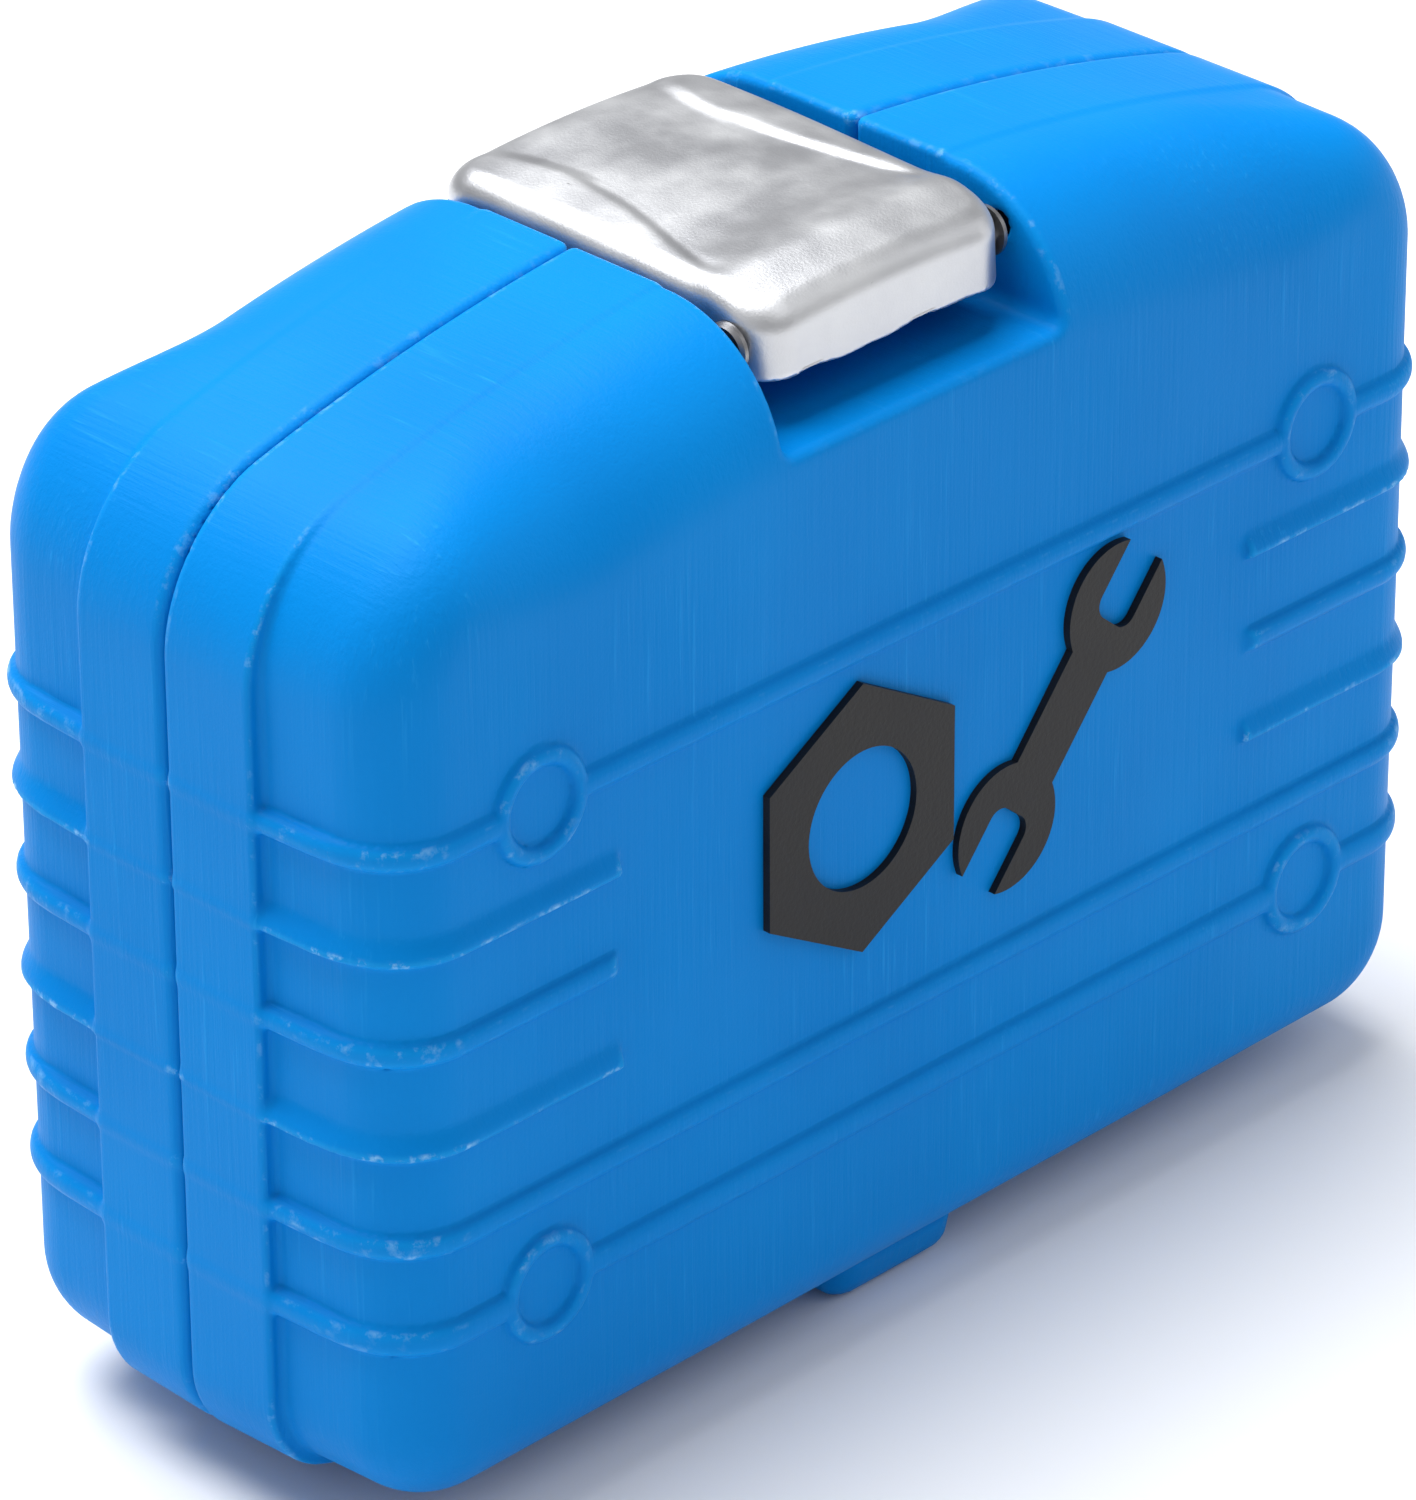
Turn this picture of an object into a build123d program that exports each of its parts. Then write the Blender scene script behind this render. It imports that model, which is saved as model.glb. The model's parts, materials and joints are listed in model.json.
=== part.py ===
from build123d import *
import os
from math import cos, pi, sin

# Quarter-inch-drive socket wrench set in a blow-moulded two-part case, standing on its hinge lugs.
# Millimetres.  X runs along the case, the front half faces -Y, Z is up.
# The origin is under the middle of the case, on the surface that the hinge lugs stand on.

# ---- driving dimensions of the case ------------------------------------------------------------
PITCH = 12.0                        # distance from rib to rib; the rest of the case scales with it
WALL = 2.2                          # thickness of the moulded skin
GAP = 0.15                          # each half stops this far from the parting plane
HALF_DEPTH = 2.7 * PITCH            # parting plane to front face
FLANGE_DEPTH = 1.13 * PITCH         # parting plane to the step behind the flange
HALF_WIDTH = 7.18 * PITCH           # centre to the flange's side
STEP = 0.15 * PITCH                 # how far the flange stands out of the side walls
BODY_BOTTOM = 4.2                   # underside of the flange, above the surface the lugs stand on
BOTTOM_STEP = 0.9                   # how far the flange stands out below the body
RIB_BASE = 30.2                     # height of the lowest rib
APEX = RIB_BASE + 8.58 * PITCH      # top of the arch
SHOULDER = RIB_BASE + 7.42 * PITCH  # where the arch would meet the sides
TOP_RADIUS = 1.3 * PITCH
BOTTOM_RADIUS = 1.0 * PITCH
FRONT_RADIUS = 0.8 * PITCH
RIB_COUNT = 6
RIB_HEIGHT = 1.1
RIB_WIDTH = 2.6
SHORT_RIB_END = 4.19 * PITCH        # ribs 2, 3 and 4 start this far from the centre
RING_X = 5.18 * PITCH
RING_RADIUS = 0.576 * PITCH
RING_BAND = 0.2 * PITCH
MARK_Z = RIB_BASE + 3.25 * PITCH    # middle of the raised mark on the front

# ---- latch recess, latch and hinge --------------------------------------------------------------
RECESS_LEFT = -24.3
RECESS_RIGHT = 19.6
RECESS_FRONT_FLOOR = RIB_BASE + 7.25 * PITCH    # floor in front of the latch pivot
RECESS_BACK_Y = -15.0               # the deep front part of the recess ends here
RECESS_FLOOR = 126.0                # floor under the latch plate
PIVOT_Y = -22.0
PIVOT_Z = 126.6
PIVOT_RADIUS = 1.75
NOSE_HALF = 14.0                    # the boss that carries the latch pivot
NOSE_RADIUS = 3.5
CATCH_Y = 23.4                      # rear face of the catch that the latch drops behind
CATCH_WIDTH = 2.8
CATCH_TOP = 128.6
REAR_FLOOR = 121.0                  # floor behind the catch
LATCH_X = -2.6                      # the latch sits a little left of the middle
LATCH_HALF = 20.0
LATCH_FRONT = -27.0
LATCH_REAR = 25.2
LATCH_TOP = 134.4
LATCH_SHEET = 1.2
LATCH_SIDE_EDGE = 128.8             # lower edge of the plate's sides
LATCH_SKIRT_EDGE = 122.5            # lower edge of the front skirt and ears
LATCH_HOOK_EDGE = 126.8             # lower edge of the rear lip
EAR_REAR = -17.0
HINGE_Z = 2.0
HINGE_RADIUS = 1.0
KNUCKLE_RADIUS = 1.95
LUG_FRONT = 25.7                    # outer end of the hinge lugs, from the parting plane
LUG_SLOPE = 1.5                     # how much farther out the lugs reach at the top
FRONT_LUG_HALF = 10.6
BACK_LUG_INNER = 11.0
BACK_LUG_OUTER = 21.0
RUNNING = 0.05                      # radial clearance of a pin that turns
SEATED = 0.01                       # radial clearance of a pin that doesn't

# ---- tools ---------------------------------------------------------------------------------------
DRIVE = 6.35                        # quarter-inch square
DRIVE_FIT = 0.15                    # how much wider a female square is
SQUARE_LENGTH = 7.5
BALL_RADIUS = 0.8
SOCKET_LENGTH = 25.0
DRIVE_END = 13.0                    # length of a socket's drive end
DEEP_LENGTH = 50.0
SOCKET_SIZES = (5.5, 6, 7, 8, 9, 10, 11, 12, 13, 14)
DEEP_SIZES = (8, 10, 13)
SOCKET_AXIS_Y = 12.0
SOCKET_BASE_Z = 48.5
SOCKET_PITCH_GAP = 2.0
DEEP_BASE_Z = 44.0
DEEP_AXIS_Y = -12.5
POCKET_SLACK = 0.6                  # room round a tool in its pocket
POCKET_CORNER = 2.0
TRAY_ROOM = 0.15                    # room between a tray and the skin
TRAY_GAP = 0.1                      # room between neighbouring trays
EDGE = HALF_WIDTH + 1               # beyond every tray
BACK_LEVELS = (0, 45.5, 75.25, 88.8, APEX)      # heights where the back half's trays meet
FRONT_LEVEL = 39.5                  # height where the front half's lowest tray ends
FRONT_SPLITS = (-EDGE, -21.0, 35.0, EDGE)       # where the trays above it meet

RATCHET_X = 58.0                    # centre of the ratchet's head
RATCHET_Z = 101.0
HEAD_RADIUS = 13.0
HEAD_FRONT = 6.0                    # face that carries the cover
HEAD_BACK = 17.0
GRIP_START = -72.0
GRIP_END = 12.0
PAWL_X = RATCHET_X - 13.4           # axis of the pawl and its lever
NECK_X = RATCHET_X - 16.0
NECK_RADIUS = 8.0
GEAR_TEETH = 36
GEAR_TIP = 8.0
GEAR_ROOT = 7.4
GEAR_BOSS = 4.5                     # the gear turns in the cover on this boss
GEAR_NECK = 6.0                     # and in the head on this neck
BUTTON_ROD = 1.85
BUTTON_TRAVEL = 0.9
COVER_SHEET = 1.2
COVER_RIM = 1.4                     # rim of the head outside its cover

BAR_Z = 82.0                        # extension bars
BAR_Y = 9.0
LONG_BAR_START = -76.0
LONG_BAR_LENGTH = 100.0
SHORT_BAR_START = 27.0
SHORT_BAR_LENGTH = 50.0

SPINNER_Y = 14.2
SPINNER_Z = 30.5
SPINNER_START = -74.0
SPINNER_GRIP = 84.0
SPINNER_RADIUS = 12.0
SHANK_END = 62.0
SHANK_RADIUS = 3.8

T_BAR_Z = 27.0
T_BAR_Y = -12.0
T_BAR_HALF = 57.5
T_BAR_RADIUS = 3.0
T_HEAD_TRAVEL = 44.0

JOINT_X = 8.0                       # universal joint
JOINT_Y = -15.8
JOINT_Z = 72.0
YOKE_REACH = 16.5
YOKE_RADIUS = 5.5

BIT_LENGTH = 30.0
BIT_HEX = 6.35
BIT_BASE_Z = 46.0
BIT_Y = -7.0
BIT_FIRST_X = 44.0
BIT_PITCH = 9.5
HOLDER_X = 58.0
HOLDER_BASE_Z = 82.0
HOLDER_Y = -10.0


def save(part, name):
    """Label a finished piece and write its STEP file."""
    part.label = name
    export_step(part, f"parts/{name}.step")


def socket_radius(size):
    """Outer radius of the working end of a socket of this size."""
    return max(6.0, 0.62 * size + 0.9)


def socket_places():
    """Size and X of each short socket, side by side and centred."""
    widths = [2 * socket_radius(size) for size in SOCKET_SIZES]
    total = sum(widths) + SOCKET_PITCH_GAP * (len(widths) - 1)
    places = []
    edge = -total / 2
    for size, width in zip(SOCKET_SIZES, widths):
        places.append((size, edge + width / 2))
        edge += width + SOCKET_PITCH_GAP
    return places


def deep_places():
    """Size and X of each deep socket."""
    places = []
    edge = -78.0
    for size in DEEP_SIZES:
        radius = socket_radius(size)
        places.append((size, edge + radius))
        edge += 2 * radius + 4.0
    return places


# ---- case ----------------------------------------------------------------------------------------
def case_outline(plane, side, bottom, top):
    """The case seen from the front, drawn in by side, bottom and top."""
    half = HALF_WIDTH - side
    low = BODY_BOTTOM + bottom
    shoulder = SHOULDER - top
    with BuildSketch(plane) as outline:
        with BuildLine():
            Line((-half, low), (half, low))
            Line((half, low), (half, shoulder))
            ThreePointArc((half, shoulder), (0, APEX - top), (-half, shoulder))
            Line((-half, shoulder), (-half, low))
        make_face()
        corners = outline.vertices().group_by(Axis.Z)
        fillet(corners[0], BOTTOM_RADIUS - bottom)
        fillet(corners[-1], TOP_RADIUS - top)
    return outline.sketch


def front_form(inset):
    """The front half without its ribs, lugs or recess, made smaller all round by inset."""
    depth = HALF_DEPTH - FLANGE_DEPTH - inset
    flange_end = FLANGE_DEPTH - inset
    body = case_outline(Plane.XZ.offset(flange_end), STEP + inset, BOTTOM_STEP + inset, inset)
    flange = case_outline(Plane.XZ.offset(GAP + inset), inset, inset, inset)
    with BuildPart() as form:
        extrude(body, amount=depth + inset)
        fillet(form.faces().sort_by(Axis.Y)[0].edges(), FRONT_RADIUS - inset)
        extrude(flange, amount=flange_end - GAP - inset)
    return form.part


def ribs():
    """Six ribs round the front face and side walls, with four ring marks."""
    skin = HALF_DEPTH - FLANGE_DEPTH
    body = case_outline(Plane.XZ.offset(FLANGE_DEPTH - 1), STEP - RIB_HEIGHT, BOTTOM_STEP, 0)
    with BuildPart() as marks:
        extrude(body, amount=skin + 1 + RIB_HEIGHT)
        fillet(marks.faces().sort_by(Axis.Y)[0].edges(), FRONT_RADIUS)
        with BuildSketch(Plane.XZ) as bands:
            for row in range(RIB_COUNT):
                height = RIB_BASE + row * PITCH
                with Locations((0, height)):
                    Rectangle(2 * HALF_WIDTH, RIB_WIDTH)
            with Locations((0, RIB_BASE + 3 * PITCH)):
                Rectangle(2 * SHORT_RIB_END, 2 * PITCH + RIB_WIDTH + 1, mode=Mode.SUBTRACT)
            for row in (0, RIB_COUNT - 1):
                for x in (-RING_X, RING_X):
                    with Locations((x, RIB_BASE + row * PITCH)):
                        Circle(RING_RADIUS)
                        Circle(RING_RADIUS - RING_BAND, mode=Mode.SUBTRACT)
        extrude(amount=2 * HALF_DEPTH, mode=Mode.INTERSECT)
    return marks.part


def recess(grow):
    """The space that the latch lies in, through both halves, made larger by grow."""
    high = APEX + 10
    deep = HALF_DEPTH + 10
    front_floor = RECESS_FRONT_FLOOR - grow
    floor = RECESS_FLOOR - grow
    rear_floor = REAR_FLOOR - grow
    with BuildPart() as space:
        with BuildSketch(Plane.YZ.offset(RECESS_LEFT - grow)):
            with BuildLine():
                Polyline(
                    (-deep, front_floor),
                    (RECESS_BACK_Y + grow, front_floor),
                    (RECESS_BACK_Y + grow, floor),
                    (CATCH_Y - grow, floor),
                    (CATCH_Y - grow, rear_floor),
                    (deep, rear_floor),
                    (deep, high),
                    (-deep, high),
                    close=True,
                )
            make_face()
        extrude(amount=RECESS_RIGHT - RECESS_LEFT + 2 * grow)
    return space.part


def half_form(side, inset):
    """front_form for the front half, side -1, or mirrored for the back half, side 1."""
    form = front_form(inset)
    return form if side < 0 else mirror(form, about=Plane.XZ)


def skin_cavity(side):
    """The inside of one half's skin, open at the parting plane."""
    mouth = case_outline(Plane.XZ, WALL, WALL, WALL)
    with BuildPart() as space:
        add(half_form(side, WALL))
        extrude(mouth, amount=-side * (GAP + WALL + 1))
        add(recess(WALL), mode=Mode.SUBTRACT)
    return space.part


def tray_form(side):
    """The whole tray of one half, without its tool pockets."""
    with BuildPart() as form:
        add(half_form(side, WALL + TRAY_ROOM))
        add(recess(WALL + TRAY_ROOM), mode=Mode.SUBTRACT)
    return form.part


def pocket_blocks(pockets, side):
    """Blocks for the tool pockets: side is 1 for the back half and -1 for the front half."""
    with BuildPart() as blocks:
        for x, z, width, height, depth in pockets:
            with BuildSketch(Plane.XZ):
                with Locations((x, z)):
                    RectangleRounded(width, height, POCKET_CORNER)
            extrude(amount=-side * depth)
    return blocks.part


def tray(name, form, side, pockets, left, right, low, high):
    """The part of a half's tray between these X and Z values, with its tool pockets."""
    middle = ((left + right) / 2, (low + high) / 2)
    with BuildPart() as block:
        add(form)
        with BuildSketch(Plane.XZ):
            with Locations(middle):
                Rectangle(right - left - TRAY_GAP, high - low - TRAY_GAP)
        extrude(amount=-side * HALF_DEPTH, mode=Mode.INTERSECT)
        add(pocket_blocks(pockets, side), mode=Mode.SUBTRACT)
    save(block.part, name)


def lug(inner, outer, side, bore):
    """A hinge lug and its knuckle between two X values, with a round bore for the pin."""
    with BuildPart() as block:
        with BuildSketch(Plane.YZ.offset(inner)):
            with BuildLine():
                Polyline(
                    (0, 0.05),
                    (side * LUG_FRONT, 0.0),
                    (side * (LUG_FRONT + LUG_SLOPE), BODY_BOTTOM + WALL),
                    (side * 1.0, BODY_BOTTOM + WALL),
                    (0, HINGE_Z + KNUCKLE_RADIUS),
                    close=True,
                )
            make_face()
            with Locations((0, HINGE_Z)):
                Circle(KNUCKLE_RADIUS)
                Circle(bore, mode=Mode.SUBTRACT)
        extrude(amount=outer - inner)
    return block.part


def back_pockets():
    """Centre X and Z, width, height and depth of each pocket in the back half."""
    grip_end = SPINNER_START + SPINNER_GRIP
    shank_room = SHANK_END + SQUARE_LENGTH + POCKET_SLACK
    pockets = [
        (RATCHET_X, RATCHET_Z, 30, 29, 26.0),
        (RATCHET_X - 30, RATCHET_Z, 40, 19, 26.0),
        ((GRIP_START + GRIP_END) / 2, RATCHET_Z, GRIP_END - GRIP_START + 3, 18, 20.5),
        (LONG_BAR_START + LONG_BAR_LENGTH / 2, BAR_Z, LONG_BAR_LENGTH + 1.5, 13.4, 16.5),
        (SHORT_BAR_START + SHORT_BAR_LENGTH / 2, BAR_Z, SHORT_BAR_LENGTH + 1.5, 13.4, 16.5),
        (SPINNER_START + SPINNER_GRIP / 2, SPINNER_Z, SPINNER_GRIP + 2, 25.4, 27.4),
        ((grip_end + shank_room) / 2, SPINNER_Z, shank_room - grip_end, 11, 20.5),
    ]
    for size, x in socket_places():
        radius = socket_radius(size) + POCKET_SLACK
        middle = SOCKET_BASE_Z + SOCKET_LENGTH / 2
        pockets.append((x, middle, 2 * radius, SOCKET_LENGTH + 1, SOCKET_AXIS_Y + radius))
    return pockets


def front_pockets():
    """Centre X and Z, width, height and depth of each pocket in the front half."""
    bits = 3 * BIT_PITCH + 8.6
    bit_middle = BIT_FIRST_X + 1.5 * BIT_PITCH
    pockets = [
        (0, T_BAR_Z, 2 * T_BAR_HALF + 2, 17.5, 27.0),
        (JOINT_X - YOKE_REACH / 2 - 1, JOINT_Z, YOKE_REACH + 3, 12.4, 22.5),
        (JOINT_X + 10, JOINT_Z, 26, 31, 28.5),
        (bit_middle, BIT_BASE_Z + BIT_LENGTH / 2, bits, BIT_LENGTH + 1, 11.5),
        (HOLDER_X, HOLDER_BASE_Z + 13, 13.4, 27, 16.8),
    ]
    for size, x in deep_places():
        radius = socket_radius(size) + POCKET_SLACK
        middle = DEEP_BASE_Z + DEEP_LENGTH / 2
        pockets.append((x, middle, 2 * radius, DEEP_LENGTH + 1, radius - DEEP_AXIS_Y))
    return pockets


rib_marks = ribs()

with BuildPart() as front_shell:
    add(half_form(-1, 0))
    add(rib_marks)
    add(recess(0), mode=Mode.SUBTRACT)
    add(skin_cavity(-1), mode=Mode.SUBTRACT)
    with BuildSketch(Plane.YZ.offset(LATCH_X - NOSE_HALF)):
        with Locations((PIVOT_Y, PIVOT_Z)):
            Circle(NOSE_RADIUS)
        with Locations(((PIVOT_Y + RECESS_BACK_Y) / 2 + 0.5, PIVOT_Z - 0.5)):
            Rectangle(RECESS_BACK_Y - PIVOT_Y + 1, 2 * NOSE_RADIUS - 1)
    extrude(amount=2 * NOSE_HALF)
    with BuildSketch(Plane.YZ.offset(LATCH_X - NOSE_HALF - 1)):
        with Locations((PIVOT_Y, PIVOT_Z)):
            Circle(PIVOT_RADIUS + SEATED)
    extrude(amount=2 * NOSE_HALF + 2, mode=Mode.SUBTRACT)
    add(lug(-FRONT_LUG_HALF, FRONT_LUG_HALF, -1, HINGE_RADIUS + RUNNING))
save(front_shell.part, "front_shell")

with BuildPart() as back_shell:
    add(half_form(1, 0))
    add(mirror(rib_marks, about=Plane.XZ))
    add(recess(0), mode=Mode.SUBTRACT)
    add(skin_cavity(1), mode=Mode.SUBTRACT)
    with BuildSketch(Plane.YZ.offset(RECESS_LEFT)):
        with Locations((CATCH_Y - CATCH_WIDTH / 2, (CATCH_TOP + RECESS_FLOOR - 1) / 2)):
            Rectangle(CATCH_WIDTH, CATCH_TOP - RECESS_FLOOR + 1)
    extrude(amount=RECESS_RIGHT - RECESS_LEFT)
    add(lug(-BACK_LUG_OUTER, -BACK_LUG_INNER, 1, HINGE_RADIUS + SEATED))
    add(lug(BACK_LUG_INNER, BACK_LUG_OUTER, 1, HINGE_RADIUS + SEATED))
save(back_shell.part, "back_shell")

# ---- trays that hold the tools, in blocks -------------------------------------------------------
back_form = tray_form(1)
back_names = ("tray_spinner", "tray_sockets", "tray_bars", "tray_ratchet")
for row, name in enumerate(back_names):
    tray(name, back_form, 1, back_pockets(), -EDGE, EDGE, BACK_LEVELS[row], BACK_LEVELS[row + 1])

front_tray_form = tray_form(-1)
tray("tray_t_bar", front_tray_form, -1, front_pockets(), -EDGE, EDGE, 0, FRONT_LEVEL)
front_names = ("tray_deep_sockets", "tray_joint", "tray_bits")
for column, name in enumerate(front_names):
    left, right = FRONT_SPLITS[column:column + 2]
    tray(name, front_tray_form, -1, front_pockets(), left, right, FRONT_LEVEL, APEX)

# ---- latch and pins ------------------------------------------------------------------------------
latch_depth = LATCH_REAR - LATCH_FRONT
latch_middle = (LATCH_REAR + LATCH_FRONT) / 2
with BuildPart() as latch_plate:
    with BuildSketch(Plane.XY.offset(LATCH_SKIRT_EDGE)):
        with Locations((LATCH_X, latch_middle)):
            RectangleRounded(2 * LATCH_HALF, latch_depth, 5)
    extrude(amount=LATCH_TOP - LATCH_SKIRT_EDGE)
    fillet(latch_plate.faces().sort_by(Axis.Z)[-1].edges(), 2.6)
    offset(amount=-LATCH_SHEET, openings=latch_plate.faces().sort_by(Axis.Z)[0])
    with BuildSketch(Plane.YZ.offset(LATCH_X - LATCH_HALF - 1)):
        with BuildLine():
            Polyline(
                (EAR_REAR, LATCH_SKIRT_EDGE - 1),
                (EAR_REAR, LATCH_SIDE_EDGE - 2),
                (EAR_REAR + 2.2, LATCH_SIDE_EDGE + 0.2),
                (LATCH_REAR - LATCH_SHEET - 0.3, LATCH_SIDE_EDGE + 0.2),
                (LATCH_REAR - LATCH_SHEET - 0.3, LATCH_HOOK_EDGE),
                (LATCH_REAR + 1, LATCH_HOOK_EDGE),
                (LATCH_REAR + 1, LATCH_SKIRT_EDGE - 1),
                close=True,
            )
        make_face()
    extrude(amount=2 * LATCH_HALF + 2, mode=Mode.SUBTRACT)
    with BuildSketch(Plane.YZ.offset(LATCH_X - LATCH_HALF - 1)):
        with Locations((PIVOT_Y, PIVOT_Z)):
            Circle(PIVOT_RADIUS + RUNNING)
    extrude(amount=2 * LATCH_HALF + 2, mode=Mode.SUBTRACT)
    with BuildSketch(Plane.XY.offset(LATCH_TOP - 0.35)):
        with Locations((LATCH_X, latch_middle + 3)):
            RectangleRounded(2 * LATCH_HALF - 14, latch_depth - 20, 4)
    extrude(amount=1, mode=Mode.SUBTRACT)
save(latch_plate.part, "latch_plate")

with BuildPart() as latch_pin:
    with BuildSketch(Plane.YZ.offset(LATCH_X - LATCH_HALF - 0.1)):
        with Locations((PIVOT_Y, PIVOT_Z)):
            Circle(PIVOT_RADIUS)
    extrude(amount=2 * LATCH_HALF + 0.2)
    for side in (-1, 1):
        with BuildSketch(Plane.YZ.offset(LATCH_X + side * (LATCH_HALF + 0.1))):
            with Locations((PIVOT_Y, PIVOT_Z)):
                Circle(3.0)
        extrude(amount=side * 0.9)
    heads = latch_pin.faces().sort_by(Axis.X)
    chamfer(heads[0].edges() + heads[-1].edges(), 0.4)
save(latch_pin.part, "latch_pin")

with BuildPart() as hinge_pin:
    with BuildSketch(Plane.YZ.offset(-BACK_LUG_OUTER)):
        with Locations((0, HINGE_Z)):
            Circle(HINGE_RADIUS)
    extrude(amount=2 * BACK_LUG_OUTER)
    chamfer(hinge_pin.edges().filter_by(GeomType.CIRCLE), 0.3)
save(hinge_pin.part, "hinge_pin")

# ---- raised pictogram on the front: a nut seen end on, beside a spanner -------------------------
with BuildPart() as front_mark:
    with BuildSketch(Plane.XZ.offset(HALF_DEPTH)):
        with Locations((-13.5, MARK_Z)):
            RegularPolygon(17.0, 6, rotation=30)
            Circle(8.6, mode=Mode.SUBTRACT)
        with Locations(Location((19, MARK_Z), -40)):
            Rectangle(7.6, 26)
            with Locations((0, 14), (0, -14)):
                Circle(8.0)
            with Locations((0, 18.5), (0, -18.5)):
                RectangleRounded(7.0, 13, 2, mode=Mode.SUBTRACT)
    extrude(amount=1.0)
save(front_mark.part, "front_mark")


# ---- sockets -------------------------------------------------------------------------------------
def socket(name, size, x, y, base, length, hex_depth):
    """A six-point socket, its axis along Z, its square drive at the lower end."""
    radius = socket_radius(size)
    drive_radius = 6.0
    bore = 0.42 * min(size, DRIVE)
    shoulder = base + DRIVE_END
    with BuildPart() as piece:
        with BuildSketch(Plane.XY.offset(base)):
            with Locations((x, y)):
                Circle(drive_radius)
        extrude(amount=shoulder - base)
        with BuildSketch(Plane.XY.offset(shoulder)):
            with Locations((x, y)):
                Circle(radius)
        extrude(amount=base + length - shoulder)
        ends = piece.faces().sort_by(Axis.Z)
        chamfer(ends[0].edges() + ends[-1].edges(), 0.5)
        with BuildSketch(Plane.XY.offset(base)):
            with Locations((x, y)):
                Rectangle(DRIVE + DRIVE_FIT, DRIVE + DRIVE_FIT)
        extrude(amount=9.0, mode=Mode.SUBTRACT)
        with BuildSketch(Plane.XY.offset(base + length)):
            with Locations((x, y)):
                RegularPolygon(size / 2 + 0.06, 6, major_radius=False)
        extrude(amount=-hex_depth, mode=Mode.SUBTRACT)
        with BuildSketch(Plane.XY.offset(base)):
            with Locations((x, y)):
                Circle(bore)
        extrude(amount=length, mode=Mode.SUBTRACT)
        with BuildSketch(Plane.XY.offset(base + 7.0)):
            with Locations((x, y)):
                Circle(drive_radius + 1)
                Circle(drive_radius - 0.35, mode=Mode.SUBTRACT)
        extrude(amount=1.6, mode=Mode.SUBTRACT)
    save(piece.part, name)


for size, x in socket_places():
    name = "socket_" + str(size).replace(".", "_")
    socket(name, size, x, SOCKET_AXIS_Y, SOCKET_BASE_Z, SOCKET_LENGTH, 11.0)

for size, x in deep_places():
    socket(f"deep_socket_{size}", size, x, DEEP_AXIS_Y, DEEP_BASE_Z, DEEP_LENGTH, 34.0)


# ---- ratchet -------------------------------------------------------------------------------------
def head_hull(plane, head, neck):
    """The ratchet head's outline: one circle at the head and a smaller one at the neck."""
    with BuildSketch(plane) as hull:
        with Locations((RATCHET_X, RATCHET_Z)):
            Circle(head)
        with Locations((NECK_X, RATCHET_Z)):
            Circle(neck)
        make_hull()
    return hull.sketch


core_front = HEAD_FRONT + 1.5
core_back = HEAD_BACK - 1.5
core_middle = (GRIP_START + 2 + NECK_X) / 2
core_length = NECK_X - GRIP_START - 2
screw_x = RATCHET_X - 8.0
screw_rise = 8.8
screw_places = [(screw_x, RATCHET_Z - screw_rise), (screw_x, RATCHET_Z + screw_rise)]
gear_top = HEAD_FRONT + 0.3
gear_bottom = HEAD_BACK - 2.3
with BuildPart() as ratchet_body:
    head = head_hull(Plane.XZ.offset(-HEAD_FRONT), HEAD_RADIUS, NECK_RADIUS)
    extrude(head, amount=HEAD_FRONT - HEAD_BACK)
    fillet(ratchet_body.faces().sort_by(Axis.Y)[-1].edges(), 1.5)
    with BuildSketch(Plane.XZ.offset(-core_front)):
        with Locations((core_middle, RATCHET_Z)):
            RectangleRounded(core_length, 9.6, 3)
    extrude(amount=core_front - core_back)
    with BuildSketch(Plane.XZ.offset(-HEAD_FRONT)):
        with Locations((RATCHET_X, RATCHET_Z)):
            Circle(GEAR_TIP + 0.25)
        with Locations((PAWL_X, RATCHET_Z)):
            Circle(4.6)
        with Locations((PAWL_X + 4, RATCHET_Z)):
            Rectangle(8, 9)
    extrude(amount=HEAD_FRONT - gear_bottom - 0.3, mode=Mode.SUBTRACT)
    with BuildSketch(Plane.XZ.offset(-HEAD_FRONT)):
        with Locations((RATCHET_X, RATCHET_Z)):
            Circle(GEAR_NECK + RUNNING)
    extrude(amount=HEAD_FRONT - HEAD_BACK - 1, mode=Mode.SUBTRACT)
    with BuildSketch(Plane.XZ.offset(-HEAD_FRONT)):
        with Locations(*screw_places):
            Circle(1.02)
    extrude(amount=-5, mode=Mode.SUBTRACT)
save(ratchet_body.part, "ratchet_body")

with BuildPart() as ratchet_grip:
    with BuildSketch(Plane.YZ.offset(GRIP_START)):
        with Locations(((core_front + core_back) / 2, RATCHET_Z)):
            RectangleRounded(13.4, 16, 5)
    extrude(amount=GRIP_END - GRIP_START)
    ends = ratchet_grip.faces().sort_by(Axis.X)
    fillet(ends[0].edges() + ends[-1].edges(), 2.0)
    with BuildSketch(Plane.XZ):
        with Locations(*[(GRIP_START + 14 + step * 6.0, RATCHET_Z) for step in range(10)]):
            Rectangle(1.6, 30)
    extrude(amount=-(HEAD_FRONT - 0.4), mode=Mode.SUBTRACT)
    add(ratchet_body.part, mode=Mode.SUBTRACT)
save(ratchet_grip.part, "ratchet_grip")

with BuildPart() as ratchet_cover:
    cover_plane = Plane.XZ.offset(COVER_SHEET - HEAD_FRONT)
    cover = head_hull(cover_plane, HEAD_RADIUS - COVER_RIM, NECK_RADIUS - COVER_RIM)
    extrude(cover, amount=-COVER_SHEET)
    with BuildSketch(Plane.XZ):
        with Locations((RATCHET_X, RATCHET_Z)):
            Circle(GEAR_BOSS + RUNNING)
        with Locations((PAWL_X, RATCHET_Z)):
            Circle(1.65)
        with Locations(*screw_places):
            Circle(1.02)
    extrude(amount=-HEAD_FRONT, mode=Mode.SUBTRACT)
save(ratchet_cover.part, "ratchet_cover")

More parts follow.
